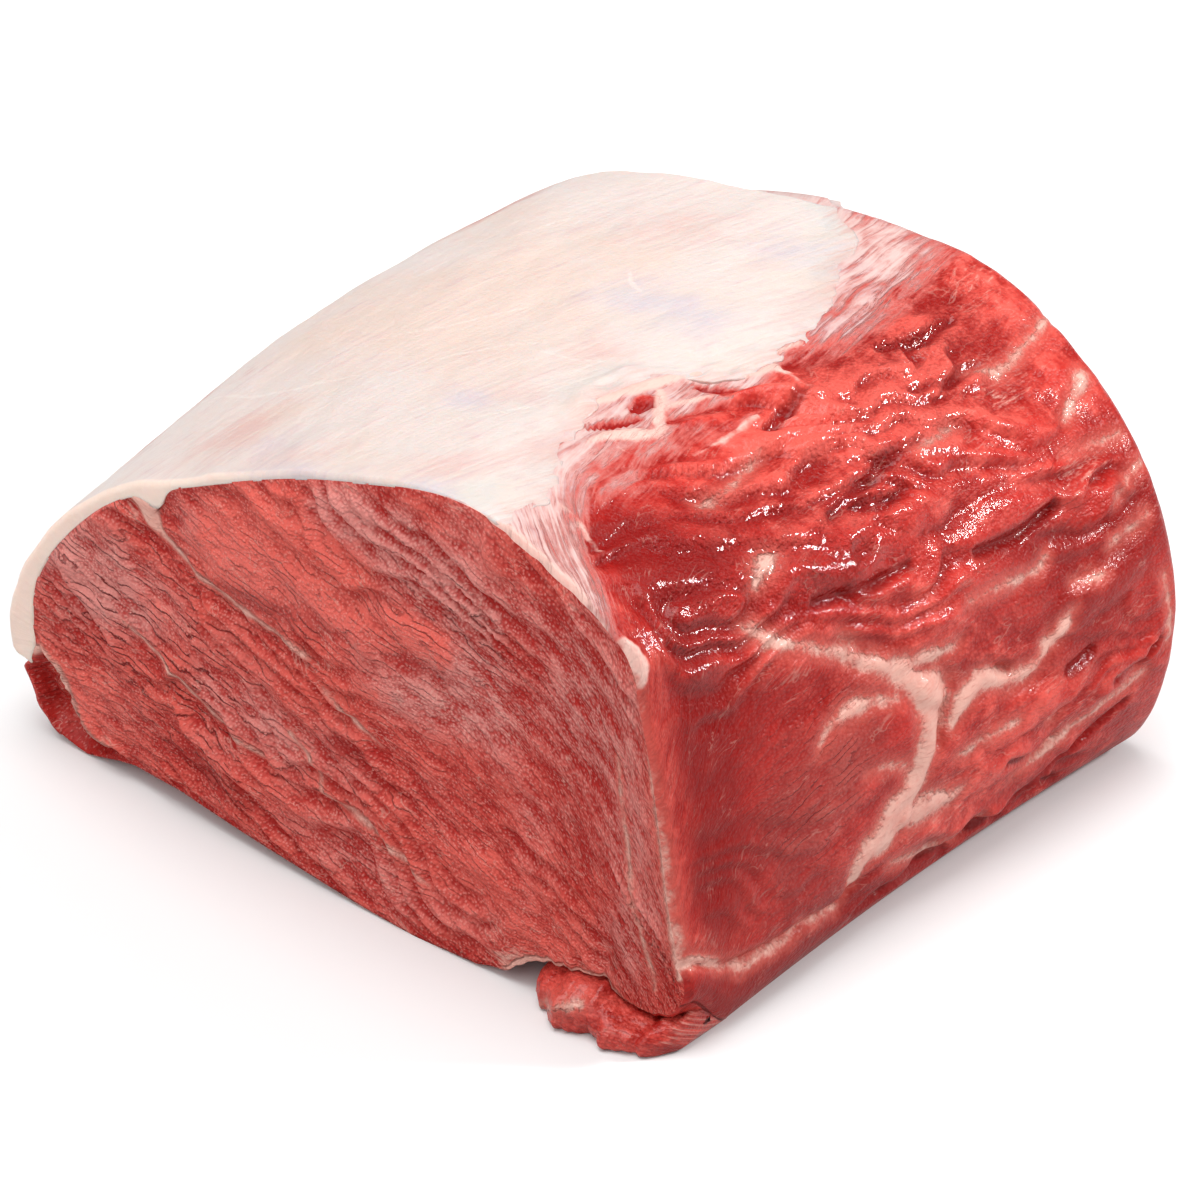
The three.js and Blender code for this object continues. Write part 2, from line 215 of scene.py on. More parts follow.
# Pale tissue: the line down the front corner, the side's veins and threads, and the seams between
# the cut face's muscles, with the pale rim of its foot.
CORNER_LINE = [
    (77.3, -1.6, 0.9), (64.7, -0.8, 0.1), (52.7, -0.4, 0.1), (40.1, 0, 0.1), (21.1, 0.2, 0.3),
    (14.5, -0.9, 0.9),
]
SIDE_TISSUE = [
    [(73.8, 27.5, 0.7), (72.6, 29.3, 1.6), (70.1, 31.7, 1.6), (66.3, 37.1, 0.9), (63.4, 43.1, 0.7),
     (60.8, 48.6, 1.6)],
    [(64.1, 48.6, 0.3), (61.5, 51, 0.7), (58.3, 51.6, 1.8)],
    [(60.5, 49.2, 1.8), (56.5, 53.4, 1.8), (53.4, 58.8, 2.1), (50.2, 63.1, 2.7), (45.2, 67.3, 3.6),
     (42.9, 70.9, 3)],
    [(52.5, 61.9, 1.6), (51.5, 67.4, 1.6), (51, 72.8, 0.9), (51, 78.3, 0.2)],
    [(44.1, 69.1, 4.8), (39, 68.4, 3.6), (34.9, 67.7, 3), (31.1, 66.4, 2.7), (27.4, 64.5, 2.7),
     (24.2, 62, 3.4), (21.6, 58.9, 4.8), (19.1, 55.8, 3.9), (17.8, 51.5, 3), (15.6, 49, 2.1),
     (12.5, 48.3, 1.6)],
    [(44.7, 74, 0.7), (40.2, 73.3, 1.6), (35.7, 71.4, 0.7)],
    [(34.6, 73.9, 0.7), (37.8, 76.3, 1.8), (39.9, 79.4, 2.5), (41.2, 83.1, 2.5), (39.6, 87.4, 2.1),
     (37.8, 91.6, 1.6), (37.6, 96.5, 1.6), (38.6, 99.6, 0.9), (40.9, 102, 1.6), (42.6, 105.1, 1.8),
     (43.8, 107.5, 1.6), (45.4, 108.8, 0.5)],
    [(46, 60.6, 0.5), (48.8, 53.9, 0.7), (49.1, 50.2, 1.6), (48.8, 45.9, 1.6), (48.3, 42.3, 0.7),
     (46.6, 39.8, 0.3), (44.5, 38.5, 0.1)],
    [(34.7, 50.6, 0.1), (34.1, 54.9, 0.3), (32.8, 59.1, 0.3), (29.8, 62.7, 0.5)],
    [(19.7, 62, 3), (19.7, 66.3, 3), (19.3, 70.5, 2.7), (18.6, 74.8, 1.6), (19.3, 77.9, 0.2)],
    [(11.1, 58.7, 0.5), (8.5, 67.2, 0.9), (7.1, 74, 0.7), (4.8, 81.9, 0.5), (7.5, 86.3, 0.2)],
    [(22.4, 131.9, 0.5), (21.3, 125.8, 0.9), (20.2, 119.6, 0.7), (18.9, 115.3, 0.7), (18.2, 110.4, 0.7),
     (16.6, 105.5, 0.9), (15.3, 101.8, 0.7), (14.1, 94.4, 0.2)],
    [(16, -1, 2.3), (12.5, 10.1, 0.9), (10.2, 16.2, 0.9), (9.9, 22.4, 0.7), (9.2, 28.5, 0.7),
     (10.8, 31.6, 0.5), (8.7, 38.9, 0.3), (7.8, 43.8, 0.3), (9.9, 46.4, 0.3), (12.2, 47.7, 0.2)],
    [(28.2, 82.3, 0.3), (28.6, 86.6, 0.5), (28.7, 92.1, 0.2)], [(23.8, 103.7, 0.5), (25.4, 105.6, 0.1)],
    [(27.8, 75.6, 0.2), (27.7, 78, 0.9), (27.8, 81.1, 0.2)],
    [(57.9, 82.1, 0.2), (57.9, 86.3, 0.3), (57.8, 90.6, 0.5), (57.2, 94.8, 0.7), (56.6, 99.7, 0.2),
     (57.1, 103.3, 0.6), (58.4, 105.8, 0.5)],
    [(50.9, 111.2, 0.1), (49.8, 115.5, 0.5), (49.8, 120.4, 0.2)],
    [(80.1, 33.1, 0.5), (81.9, 35.6, 1.6), (83.4, 38.6, 1.8), (83.5, 41.1, 0.5)],
    [(99.4, 35.8, 0.5), (99.2, 38.8, 0.7), (99.2, 42.4, 0.5), (100.1, 46.1, 0.5), (101.6, 50.3, 0.5),
     (103.1, 55.2, 0.2)],
    [(101, 143.5, 0.6), (100.2, 139.9, 0.9), (97.4, 129, 0.7), (95.6, 122.9, 0.5), (95.5, 118.1, 1.6),
     (98.4, 112.6, 0.4)],
    [(89.6, 97.5, 0.9), (88.8, 86, 0.3)], [(86.4, 136.8, 1.6), (80.5, 125.9, 0.3)],
    [(73.1, 138.6, 0.5), (74.4, 120.4, 0.2)], [(41.8, 138, 0.8), (35, 139, 0.3), (27.7, 139.2, 0.8)],
    [(66, 140, 0.7), (62, 128, 0.3)], [(56, 136, 0.6), (54, 124, 0.2)],
]
CUT_TISSUE = [
    [(-55, 69, 4.5), (-52.9, 64.5, 2.2), (-49.8, 61.5, 0.7), (-44.5, 59.5, 0.5), (-38.7, 56.2, 0.7),
     (-28.3, 54, 0.8), (-17.9, 52.3, 0.6), (-8.6, 50.3, 0.2)],
    [(-4.6, 45.2, 0.1), (3.5, 41.2, 0.4), (10.6, 38.1, 0.1)],
    [(-62, 37.5, 0.05), (-58.8, 36.5, 0.25), (-51.4, 33.8, 0.3), (-42.7, 28.9, 0.35), (-31.1, 24.6, 0.5),
     (-22, 22.4, 0.3), (-18.3, 22, 0.05)],
    [(-91.5, 18.5, 0.6), (-86.8, 21.5, 1.0), (-83, 19.2, 0.9), (-79.6, 12.4, 0.8), (-76.1, 8, 0.7),
     (-72, 5, 0.5), (-65.6, 3.6, 0.3)],
    [(-14.1, 32, 0.2), (-8.6, 29.1, 0.3), (-4.4, 21.9, 0.3), (4, 20.2, 0.6), (16.3, 16.4, 0.4),
     (24, 12.5, 0.1)],
    [(72.8, 75.8, 0.1), (75.7, 60.3, 0.25), (79.2, 42.7, 0.4), (82.2, 24.6, 0.5), (84.5, 12.5, 0.4)],
    [(68, 58, 0.05), (70.5, 45, 0.3), (73, 30, 0.35), (76, 18, 0.3), (78.5, 8, 0.1)],
    [(70.6, 79.5, 0.3), (73, 75.5, 0.9), (74.6, 71, 0.8), (76, 67.5, 0.3)],
    [(43, 0.5, 0.5), (48, 0.8, 1.4), (54, 0.8, 1.1), (62, 0.5, 1.0), (68, 0.3, 1.2), (75, 0, 0.6),
     (82, 0.4, 0.8)],
]
# Clefts between raised folds, and hollows, which the colour darkens with painted shade.
CLEFTS = [
    [(110.4, 75.2, 0.2), (108.4, 67.9, 0.7), (107, 61.9, 0.2)],
    [(29.1, 135.6, 0.1), (25.5, 130, 0.4), (25.2, 122.1, 0.1)], [(34.9, 114.8, 0.1), (33.4, 107.5, 0.3)],
    [(19.7, 90.2, 0.1), (16.7, 100, 0.4), (18, 106, 0.1)],
    [(86.5, 62.3, 0.1), (82.5, 68.9, 0.5), (82.9, 76.8, 0.2)], [(41.2, 88.6, 0.4), (40.2, 91, 0.4)],
    [(85.5, 58, 0.1), (87.7, 70.8, 0.4), (90.3, 79.3, 0.5), (90.3, 88.4, 0.1)],
    [(72, 45, 0.1), (70, 58, 0.4), (70, 70, 0.1)], [(40, 73.2, 0.1), (36, 71.2, 0.3), (33, 70.5, 0.1)],
    [(66, 88, 0.1), (65, 100, 0.4), (67, 112, 0.1)], [(100, 96, 0.1), (98, 106, 0.5), (99, 116, 0.1)],
    [(112, 100, 0.1), (109, 110, 0.5), (110, 120, 0.1)],
    [(3.5, 50, 0.1), (5, 70, 0.4), (5, 88, 0.5), (6.5, 100, 0.6), (9.5, 108, 0.4), (13, 117, 0.3),
     (17, 128, 0.1)],
    [(5, 92, 0.3), (2, 95, 0.4), (0, 97, 0.2)], [(6, 76, 0.2), (3, 78, 0.4), (0, 79, 0.2)],
    [(7, 106, 0.3), (3, 112, 0.3), (0, 114, 0.2)],
]
# The silverskin strip at the front corner, as its reach back at each girth, and thin veils of it;
# windows of bare muscle in it, and bits of fat that bridge it.
CORNER_STRIP = [
    (80, -1.5), (84, 0.5), (88, 2.5), (95.5, 5.2), (104.7, 8.0), (113.5, 9), (120, 8), (128, 12),
]
VEIL_SIDE = [
    (131, 121, 10, 16, 0.85), (121, 98, 6, 16, 0.75), (142, 137, 14, 12, 0.75), (114, 26, 8, 10, 0.5),
]
WINDOWS = [
    [(126.6, 46.8, 1.2), (126.6, 49.9, 2.1)],
    [(127.7, 34.8, 0.3), (126, 37.8, 0.9), (124.6, 41.4, 1.2), (123.5, 44.4, 0.7)],
    [(119.4, 48.6, 0.9), (117.3, 51, 1.9), (115.5, 55.3, 2.3), (114.5, 60.7, 2.4), (114.7, 65.5, 2.4),
     (112, 72, 2)],
    [(123.9, 61.3, 0.6), (119.7, 63.7, 1.3), (116.4, 65.5, 1.6)],
]
BRIDGES = [
    [(86, 0, 0.3), (94, 0.2, 0.7), (104, 0.3, 0.9), (114, 0.3, 0.9), (124, 0, 0.7)],
    [(83.5, 0.4, 0.6), (80.5, 1.0, 1.5), (77, 1.0, 1.5), (74, 0.3, 0.5)],
    [(123.2, 30.5, 0.7), (122.2, 34.7, 1.9), (119.7, 39, 2.1), (118.2, 42.6, 1.4), (118.3, 46.2, 0.5)],
    [(127.9, 54.7, 0.9), (124.2, 51.1, 1.0), (120.5, 46.2, 1.2)],
    [(122.5, 51.1, 0.5), (121.7, 54.7, 0.9), (120.6, 58.3, 0.8), (119.8, 61.3, 0.2)],
    [(120.8, 70, 0.9), (119.8, 72.8, 0.9), (119.1, 77, 1.2), (115.7, 77.6, 0.7), (112.3, 76.4, 0.4),
     (110.2, 76.4, 0.2)],
    [(109.2, 43.7, 0.1), (109, 51, 0.3), (109.6, 57, 0.5), (110.2, 61.9, 0.3)],
    [(133, 40, 1.4), (131, 50, 1.8), (129, 60, 1.6), (128, 68, 1.9), (125.5, 74, 1.6), (122.6, 82, 1.2),
     (122, 88, 0.4)],
    [(122.7, 33.5, 0.1), (119, 34.1, 0.1), (114.9, 34.1, 0.1)],
    [(115.2, 13.5, 0.2), (110.2, 12.9, 0.2), (102.7, 11.6, 0.2), (97.2, 10.3, 0.1)],
]
# The pale edge above the torn strip at the lower left of the front face: its height along x.
TORN_EDGE = [
    (-100, 15), (-94.4, 16.5), (-86.8, 20.9), (-83, 18.5), (-79.6, 11.8), (-76.1, 7.4), (-72, 4.4),
    (-65.6, 3), (-60, 0), (-54, -3),
]
# The ragged lower lip of the front face: its height above the table along x.
LIP = [
    (-76, 0), (-66, 3), (-60.7, 4.3), (-46.6, 4.7), (-28.6, 3.3), (-11.3, 2.1), (5, 0.8), (20, 0),
    (36, 0.6), (40, 1.8), (44.1, 2.4), (48.2, 6), (54.5, 8.8), (60, 9.1), (67.8, 10.8), (69.1, 8.8),
    (72.7, 7), (78.7, 6.2), (82.9, 7.4), (86, 11), (92, 13),
]
# The cap's wedge between the two muscles under it: its x, half width and depth.
WEDGE_X, WEDGE_WIDTH, WEDGE_DEPTH = -53, 3.5, 3.6


def silverskin_cover(girth, back):
    """How thickly the silverskin covers the meat, 0 to 1: white in the strip down the front corner and
    along the fat's edge, thin and see-through between them, and missing in the windows."""
    strip = 0.85 * smooth(2.5, -2.0, back - look_up(CORNER_STRIP, girth)) * smooth(80, 84, girth)
    edge, red = look_up(FAT_EDGE, back), look_up(RED_EDGE, back)
    share = (girth - red) / np.maximum(edge - red, 5)
    band = 0.6 * np.clip(share, 0, 1) ** 1.1 + 0.42 * smooth(-0.35, 0.2, share)
    cover = np.maximum.reduce([strip, band, patches(VEIL_SIDE, girth, back)])
    return cover * smooth(-0.6, 0.8, outside_all(WINDOWS, girth, back))


def fat_edge_girth(back):
    """Girth where the opaque fat ends, with a ragged outline of noise."""
    return look_up(FAT_EDGE, back) + 1.3 * noise(3, back / 6.5) + 0.7 * noise(4, back / 2.3)


def fat_thickness(number, edge_number, x, back):
    """Thickness of the cap: thin over the front of the top and thicker behind, feathered out at its
    right edge, thickest over the left side just above its blunt hem, and deeper in the wedge."""
    top = mix(0.5, mix(1.9, 4.6, smooth(0, 45, back)), smooth(edge_number, edge_number + 1.3, number))
    cheek = np.interp(number, [SLOPE - 0.6, SLOPE + 0.5, 9.2, 9.7, 10.1, HEM], [0, 2.4, 3.4, 5.6, 6.4, 5.6])
    hem = 1 - 0.35 * smooth(HEM - 0.25, HEM, number)
    return (top + cheek) * hem + WEDGE_DEPTH * bell(x - WEDGE_X, WEDGE_WIDTH)


# ---- Lean meat: its relief ---------------------------------------------------------------------
# Muscle bundles, folds and seams that a finger could feel are in the mesh; the finer grain is in the
# material's bump.
# Lens-shaped raised folds: centre back, centre girth, half length, half width, slope, height.
FOLDS = [
    (73, 110, 13, 3.4, -0.9, 2.2), (62, 104, 12, 4.5, -0.45, 1.2), (72, 97, 13, 4.0, -0.35, 1.7),
    (76, 79, 11, 3.6, -0.3, 1.6), (90, 91, 12, 4.2, -0.25, 1.3), (96, 70, 16, 4.4, -0.12, 1.2),
    (84, 60, 15, 4.5, -0.05, 1.0), (122, 64, 14, 4.0, -0.1, 1.3), (112, 84, 13, 4.2, -0.2, 1.4),
    (104, 101, 15, 4.6, -0.25, 1.3), (118, 46, 15, 5.0, 0.1, 1.2), (100, 30, 18, 5.5, 0.15, 1.4),
    (112, 112, 14, 4.0, -0.3, 1.0), (50, 74, 12, 4.5, -0.3, 0.9), (72, 55, 9, 4.0, -0.1, 0.8),
    (46, 88, 10, 4.0, -0.5, 1.0), (28, 96, 10, 4.0, -0.6, 0.8), (88, 20, 16, 4.0, 0.05, 1.0),
    (126, 28, 14, 4.0, 0.1, 1.2), (132, 88, 12, 4.0, -0.2, 1.2),
]
# The same on the cut face: centre x, centre z, half length, half width, slope, height.
ISLANDS = [
    (-30, 66, 15, 7.5, -0.45, 0.9), (-4, 64, 17, 4.2, -0.38, 1.3), (22, 65, 14, 4.0, -0.3, 1.2),
    (-66, 40, 16, 8, -0.5, 0.6), (2, 37, 12, 3.5, -0.2, 0.7), (-30, 17, 20, 4.5, -0.2, 0.8),
    (-50, 22, 18, 4, -0.25, 0.7), (38, 48, 16, 4, -0.3, 0.6), (-12, 76, 14, 4, -0.2, 0.7),
    (30, 24, 20, 4, -0.2, 0.6), (52, 34, 10, 4, -0.8, 0.5),
]
# The edge of the side's lowest layer of muscle, near the front.
LOW_LAYER = [(17, -4, 0), (13.2, 5, 0), (10.6, 25, 0), (9, 43, 0), (11.5, 56, 0)]
# Depth of the groove under each seam of the front face: the first of CUT_TISSUE's bands, in order.
SEAM_DEPTHS = (0.7, 0.3, 0.5, 0.2, 0.3)
# How steeply a cut face falls to the right along x: its broad ridges, and the finer grain on them.
SLOPE_AT = (-100, -50, -10, 30, 52, 68, 84)
RIDGE_SLOPES = (0.52, 0.5, 0.42, 0.36, 0.6, 1.2, 2.0)
GRAIN_SLOPES = (0.2, 0.24, 0.28, 0.34, 0.6, 1.2, 2.0)


def folds(spots, p, q):
    """Summed height of lens-shaped folds, each rounded above and undercut on its lower side."""
    height = 0
    for k, (at_p, at_q, long, wide, slope, rise) in enumerate(spots):
        u = ((p - at_p) + (q - at_q) * slope) / np.hypot(1, slope)
        v = ((q - at_q) - (p - at_p) * slope) / np.hypot(1, slope)
        v = v + 1.2 * noise(15 + k, p / 8, q / 8)
        inside = np.clip(1 - (u / long) ** 2 - (v / wide) ** 2, 0, 1)
        height = height + rise * inside ** mix(0.9, 0.4, smooth(-0.2, 0.5, -v / wide))
    return height


def shelves(seed, along, across, spacing):
    """Overlapping bundles like shingles, 0 to 1: a saw-tooth of the warped distance across them, whose
    lower edge rises over a quarter of its step and which then falls slowly to the next."""
    warped = across / spacing + 1.3 * noise(seed, along / 24, across / 14)
    warped = warped + 0.35 * noise(seed + 1, along / 8, across / 7)
    step = warped - np.floor(warped)
    return smooth(0, 0.26, step) * (1 - smooth(0.2, 1.0, step))


def side_shelves(girth, back):
    """The sides' shingles and how strongly they stand out, which varies from patch to patch."""
    along, across = back - 0.25 * girth, girth + 0.25 * back
    patchy = smooth(-0.25, 0.35, noise(13, along / 26, across / 16)) * smooth(0, 10, back)
    return shelves(14, along, across, 8.5), patchy * mix(0.35, 1, smooth(48, 72, girth))


def side_relief(girth, back):
    """Height in mm of the sides' muscle over the block's smooth form: rolling lumps, shingles, folds,
    tissue in its grooves, and clefts. Silverskin calms it, and bits of fat lie on top."""
    along, across = back - 0.2 * girth, girth + 0.2 * back
    ends = smooth(0, 10, back) * smooth(LENGTH, LENGTH - 8, back)
    lumps = 0.9 * noise(11, along / 24, across / 9) + 0.45 * noise(12, along / 11, across / 4.6)
    height = lumps * mix(0.5, 1, smooth(48, 75, girth)) * mix(0.12, 1, ends)
    shingle, amount = side_shelves(girth, back)
    height += (shingle - 0.5) * 1.7 * amount * ends
    height += folds(FOLDS, back, girth) * mix(0.2, 1, ends)
    for route in SIDE_TISSUE:
        away = outside(route, girth, back)
        height += 0.3 * smooth(0.3, -1.5, away) - 0.5 * bell(away, 1.6)
    height -= 1.5 * bell(np.maximum(outside_all(CLEFTS, girth, back), 0), 0.9)
    height -= 1.3 * bell(outside(LOW_LAYER, girth, back), 1.1) * smooth(60, 50, back)
    at_foot = smooth(13, 5, girth) * smooth(36, 50, back) * smooth(128, 112, back)
    height += 1.5 * noise(27, back / 7, girth / 4) * at_foot
    film = smooth(0.2, 0.6, silverskin_cover(girth, back))
    calm = 0.3 * noise(16, back / 15, girth / 9) + 0.12 * noise(17, back / 12, girth / 1.6)
    on_bits = smooth(-1.2, 1.6, -outside_all(BRIDGES, girth, back))
    bits = on_bits * (0.9 + 0.5 * noise(18, back / 4, girth / 3))
    fade = mix(smooth(0, 4, girth), smooth(1, 9, girth), smooth(108, 124, back))
    return mix(height, calm, 0.85 * film) * fade + bits


def face_flow(x, z, mirrored, slopes):
    """Coordinates along and across the grain of a cut face: the slope is summed along x."""
    table = np.linspace(-120, 120, 241)
    slope = np.interp(table, SLOPE_AT, slopes)
    fall = np.interp(x, table, np.cumsum(slope))
    warp = 2.0 * noise(31, x / 38, z / 26) + 0.7 * noise(32, x / 13, z / 11)
    return np.stack([x - 0.35 * z + (400 if mirrored else 0), (z + fall) * 0.9 + warp, 0 * x], axis=-1)


def face_relief(x, z, mirrored):
    """Height in mm of a cut face's grain over the flat face, apart from its seams."""
    seed = 51 if mirrored else 41
    flow = face_flow(x, z, mirrored, RIDGE_SLOPES)
    along, across = flow[..., 0], flow[..., 1]
    rolling = 0.5 * noise(seed, along / 34, across / 16) + 0.5 * noise(seed + 1, along / 15, across / 6)
    patchy = smooth(-0.4, 0.4, noise(seed + 2, along / 22, across / 12))
    shingle = (shelves(seed + 3, along, across, 6.0) - 0.4) * 1.7 * patchy
    return rolling + shingle + 0.3 * noise(seed + 4, along / 5, across / 2.4) + folds(ISLANDS, x, z)


def front_seams(x, z):
    """Ridges along the front face's seams, each with a groove on its lower side, and the rough
    strip at the lower left, which was torn and stands back behind a pale rim."""
    height = 0
    for depth, route in zip(SEAM_DEPTHS, CUT_TISSUE):
        groove, ridge = bell(outside(route, x, z + 1.9), 1.6), bell(outside(route, x, z), 1.5)
        height = height + 0.3 * ridge - depth * groove
    below = z - look_up(TORN_EDGE, x) + 0.8 * noise(43, x / 3, z / 3)
    rough = 1.6 * noise(44, x / 5, z / 4) + 0.8 * noise(45, x / 2.2, z / 2)
    height = mix(height, height - 3.4 + rough, smooth(0.6, -1.4, below))
    height = height + 0.9 * bell(below - 1.0, 1.0) * smooth(-55, -65, x)
    return height - 1.3 * smooth(3.5, 0, z) * (0.6 + noise(46, x / 6))


# ---- Lean meat: where its colour changes -------------------------------------------------------
# Soft patches (centre, centre, radius, radius, amount): split open between the bundles, wet and
# shining, bright red, deep blood red (partly painted shade in hollows and below seams), dulled by the
# air, or pale with fat under the surface.
SIDE_PATCHES = {
    "split": [(34, 34, 16, 16, 0.8), (48, 44, 14, 10, 0.5), (70, 118, 14, 14, 0.3)],
    "wet": [
        (92, 32, 16, 18, 1.0), (100, 92, 16, 26, 1.0), (84, 58, 10, 18, 0.9), (76, 14, 12, 10, 0.5),
        (112, 120, 12, 22, 0.7), (64, 90, 14, 24, 0.35), (20, 60, 12, 30, 0.2),
    ],
    "bright": [
        (100, 60, 14, 18, 0.9), (102, 104, 20, 28, 1.0), (20, 10, 10, 8, 0.5), (36, 98, 14, 16, 0.4),
        (18, 78, 12, 20, 0.5), (66, 34, 5, 12, 0.7), (58, 70, 8, 14, 0.4), (114, 84, 8, 14, 1.0),
        (47, 76, 5, 8, 0.6), (88, 44, 12, 18, 0.1), (116, 133, 10, 12, 0.5), (60, 3, 28, 4, 0.45),
    ],
    # Deep red: partly the meat's own tone, partly painted shade in hollows and under folds.
    "deep": [
        (50, 12, 36, 6, 0.8), (28, 8, 10, 4, 0.5), (60, 22, 12, 18, 0.5), (34, 26, 14, 14, 0.5),
        (46, 112, 14, 16, 0.7), (56, 134, 12, 12, 0.8), (84, 42, 12, 12, 0.25), (14, 32, 10, 14, 0.5),
        (5, 30, 6, 50, 0.8), (98, 18, 12, 9, 0.9), (88, 24, 8, 10, 0.6), (76, 56, 6, 14, 0.6),
        (62, 96, 8, 20, 0.4), (41, 53, 5, 6, 0.5), (31, 56, 4, 4, 0.5),
    ],
    "dull": [(30, 32, 16, 20, 0.6), (46, 48, 12, 12, 0.4), (70, 124, 16, 14, 0.25), (12, 44, 6, 10, 0.4)],
    "pale": [
        (18, 70, 8, 14, 0.5), (20, 112, 8, 22, 0.35), (90, 116, 4, 7, 0.5), (116, 133, 8, 10, 0.4),
        (144, 134, 8, 12, 0.5), (71, 122, 4, 8, 0.5), (56, 82, 4, 14, 0.2), (14, 16, 3, 12, 0.3),
        (19, 6, 4, 6, 0.4), (98, 122, 8, 14, 0.2), (33, 44, 8, 14, 0.2),
    ],
}
CUT_PATCHES = {
    "split": [
        (-66, 40, 24, 22, 1.0), (-40, 34, 20, 16, 0.9), (-10, 60, 30, 16, 0.55), (-20, 14, 40, 14, 0.5),
        (30, 70, 22, 12, 0.6), (20, 30, 30, 14, 0.35),
    ],
    "wet": [
        (-84, 46, 5, 10, 0.8), (-80, 12, 12, 8, 0.6), (-30, 66, 14, 9, 0.5), (-4, 62, 16, 6, 0.5),
        (22, 65, 10, 5, 0.4),
    ],
    "bright": [
        (-30, 65, 13, 10, 1.0), (-17, 77, 14, 6, 0.8), (-3, 64, 14, 5, 1.0), (20, 65, 12, 5, 0.9),
        (1, 73, 8, 4, 0.6), (-66, 18, 20, 7, 0.5), (-50, 44, 10, 4, 0.5), (45, 22, 24, 10, 0.3),
        (-80, 12, 10, 8, 0.8), (8, 50, 10, 4, 0.4),
    ],
    # Deep red: partly the meat's own tone, partly painted shade in the hollows below the seams.
    "deep": [
        (-26, 56.5, 10, 2.6, 1.0), (-12, 50.5, 8, 2.6, 0.9), (2, 34, 9, 3, 0.9), (-10, 58, 10, 2, 0.5),
        (22, 59, 10, 2.5, 0.6), (-44, 12, 12, 3, 0.9), (-30, 9, 10, 2.5, 0.8), (-70, 52, 10, 3, 0.4),
        (60, 40, 8, 26, 0.3), (-83, 12, 5, 8, 0.2), (-48, 30, 14, 2, 0.5), (40, 44, 14, 3, 0.4),
    ],
    "dull": [
        (-64, 46, 18, 12, 0.7), (0, 84, 8, 5, 0.9), (14, 83, 10, 6, 1.0), (30, 78, 12, 7, 0.9),
        (20, 52, 16, 6, 0.6), (36, 60, 12, 14, 0.5), (60, 66, 12, 22, 0.6), (-20, 30, 24, 8, 0.4),
        (10, 10, 40, 8, 0.3), (72, 40, 8, 34, 0.4),
    ],
    "pale": [(-56, 66, 6, 6, 0.8), (60, 3, 22, 3, 0.4), (44, 2, 5, 4, 0.8), (-60, 1, 20, 2, 0.3)],
}
NO_FAT_BIT = -40.0  # far outside every bit of fat


# ---- Lean meat: the mesh -----------------------------------------------------------------------
# A closed skin laid out like a box: columns run round the section, rows run back, and each cut face
# is a grid stretched inside the first or last ring. Columns that the fat or the table hides have
# only every fifth row.
NX, NZ, NR = 184, 114, 62  # cells across a cut face, up it, and over the red part of the top
UNDER_FAT = 9.0  # how far the close columns run in under the cap
LEFT_STRIP = 20  # columns below the cap's hem on the left
ABOVE_HEM, UNDER_FOOT = 14, 8  # close columns above the hem, and on the underside at each foot
ROW_STEP = 5
FRONT_ROUND, BACK_ROUND = 1.5, 4.5  # radii of the edges of the two cut faces
FACE_WIDE, FACE_TALL = 180, 92  # a cut face's size, for fading its relief in from its rim
LIP_DEPTH, LIP_RISE = 13.0, 34.0  # how far back and how far up the lip's hollow bends the block
FAR_OFF = 30.0  # farther than this from tissue looks the same


def edge_rounding(back, front, rear):
    """How far a ring sits inside the block's form: quarter circles at the two cut faces."""
    at_front = np.clip(front - back, 0, front)
    at_back = np.clip(back - (LENGTH - rear), 0, rear)
    return front - np.sqrt(front**2 - at_front**2) + rear - np.sqrt(rear**2 - at_back**2)


def cell_triangles(a, b, c, d):
    """Two triangles for each cell whose four corners are given in turn."""
    return np.concatenate([np.stack(corners, -1).reshape(-1, 3) for corners in ((a, b, c), (a, c, d))])


def grid_triangles(grid, turned=False):
    """Two triangles for each cell of a grid of vertex numbers."""
    a, b, c, d = grid[:-1, :-1], grid[1:, :-1], grid[1:, 1:], grid[:-1, 1:]
    return cell_triangles(a, d, c, b) if turned else cell_triangles(a, b, c, d)


def ring_triangles(index, close, sparse_rows):
    """Triangles of a closed tube of columns. Two close columns are joined at every row, two sparse
    ones at every sparse row, and a close one to a sparse one by fans."""
    after, close_after = np.roll(index, -1, axis=1), np.roll(close, -1)
    found = []
    all_rows = np.arange(len(index))
    for rows, columns in ((all_rows, close & close_after), (sparse_rows, ~close & ~close_after)):
        left, right = index[np.ix_(rows, columns)], after[np.ix_(rows, columns)]
        found.append(cell_triangles(left[:-1], left[1:], right[1:], right[:-1]))
    for column in np.flatnonzero(close != close_after):
        left, right = index[:, column], after[:, column]
        for low, high in zip(sparse_rows, sparse_rows[1:]):
            middle = (low + high) // 2
            steps = range(low, high)
            if close[column]:
                found.append([(left[j], left[j + 1], right[low if j < middle else high]) for j in steps])
                found.append([(left[middle], right[high], right[low])])
            else:
                found.append([(left[low if j < middle else high], right[j + 1], right[j]) for j in steps])
                found.append([(left[low], left[high], right[middle])])
    return np.concatenate([np.asarray(part) for part in found])


def rim_sides(ring):
    """A ring's right, top, left and bottom sides, the upright ones going up, the others leftwards."""
    left = ring[NZ + NX:2 * NZ + NX + 1][::-1]
    bottom = np.concatenate([ring[:1], ring[:-NX - 1:-1]])
    return ring[:NZ + 1], ring[NZ:NZ + NX + 1], left, bottom


def stretched_face(ring):
    """Inner points of a grid stretched over a ring's four sides (a Coons patch): the mix of opposite
    sides both ways, less the mix of the corners."""
    right, top, left, bottom = rim_sides(ring)
    u, v = np.arange(NX + 1)[:, None, None] / NX, np.arange(NZ + 1)[None, :, None] / NZ
    sides = mix(bottom[:, None], top[:, None], v) + mix(right[None], left[None], u)
    return (sides - mix(mix(right[0], left[0], u), mix(right[-1], left[-1], u), v))[1:-1, 1:-1]


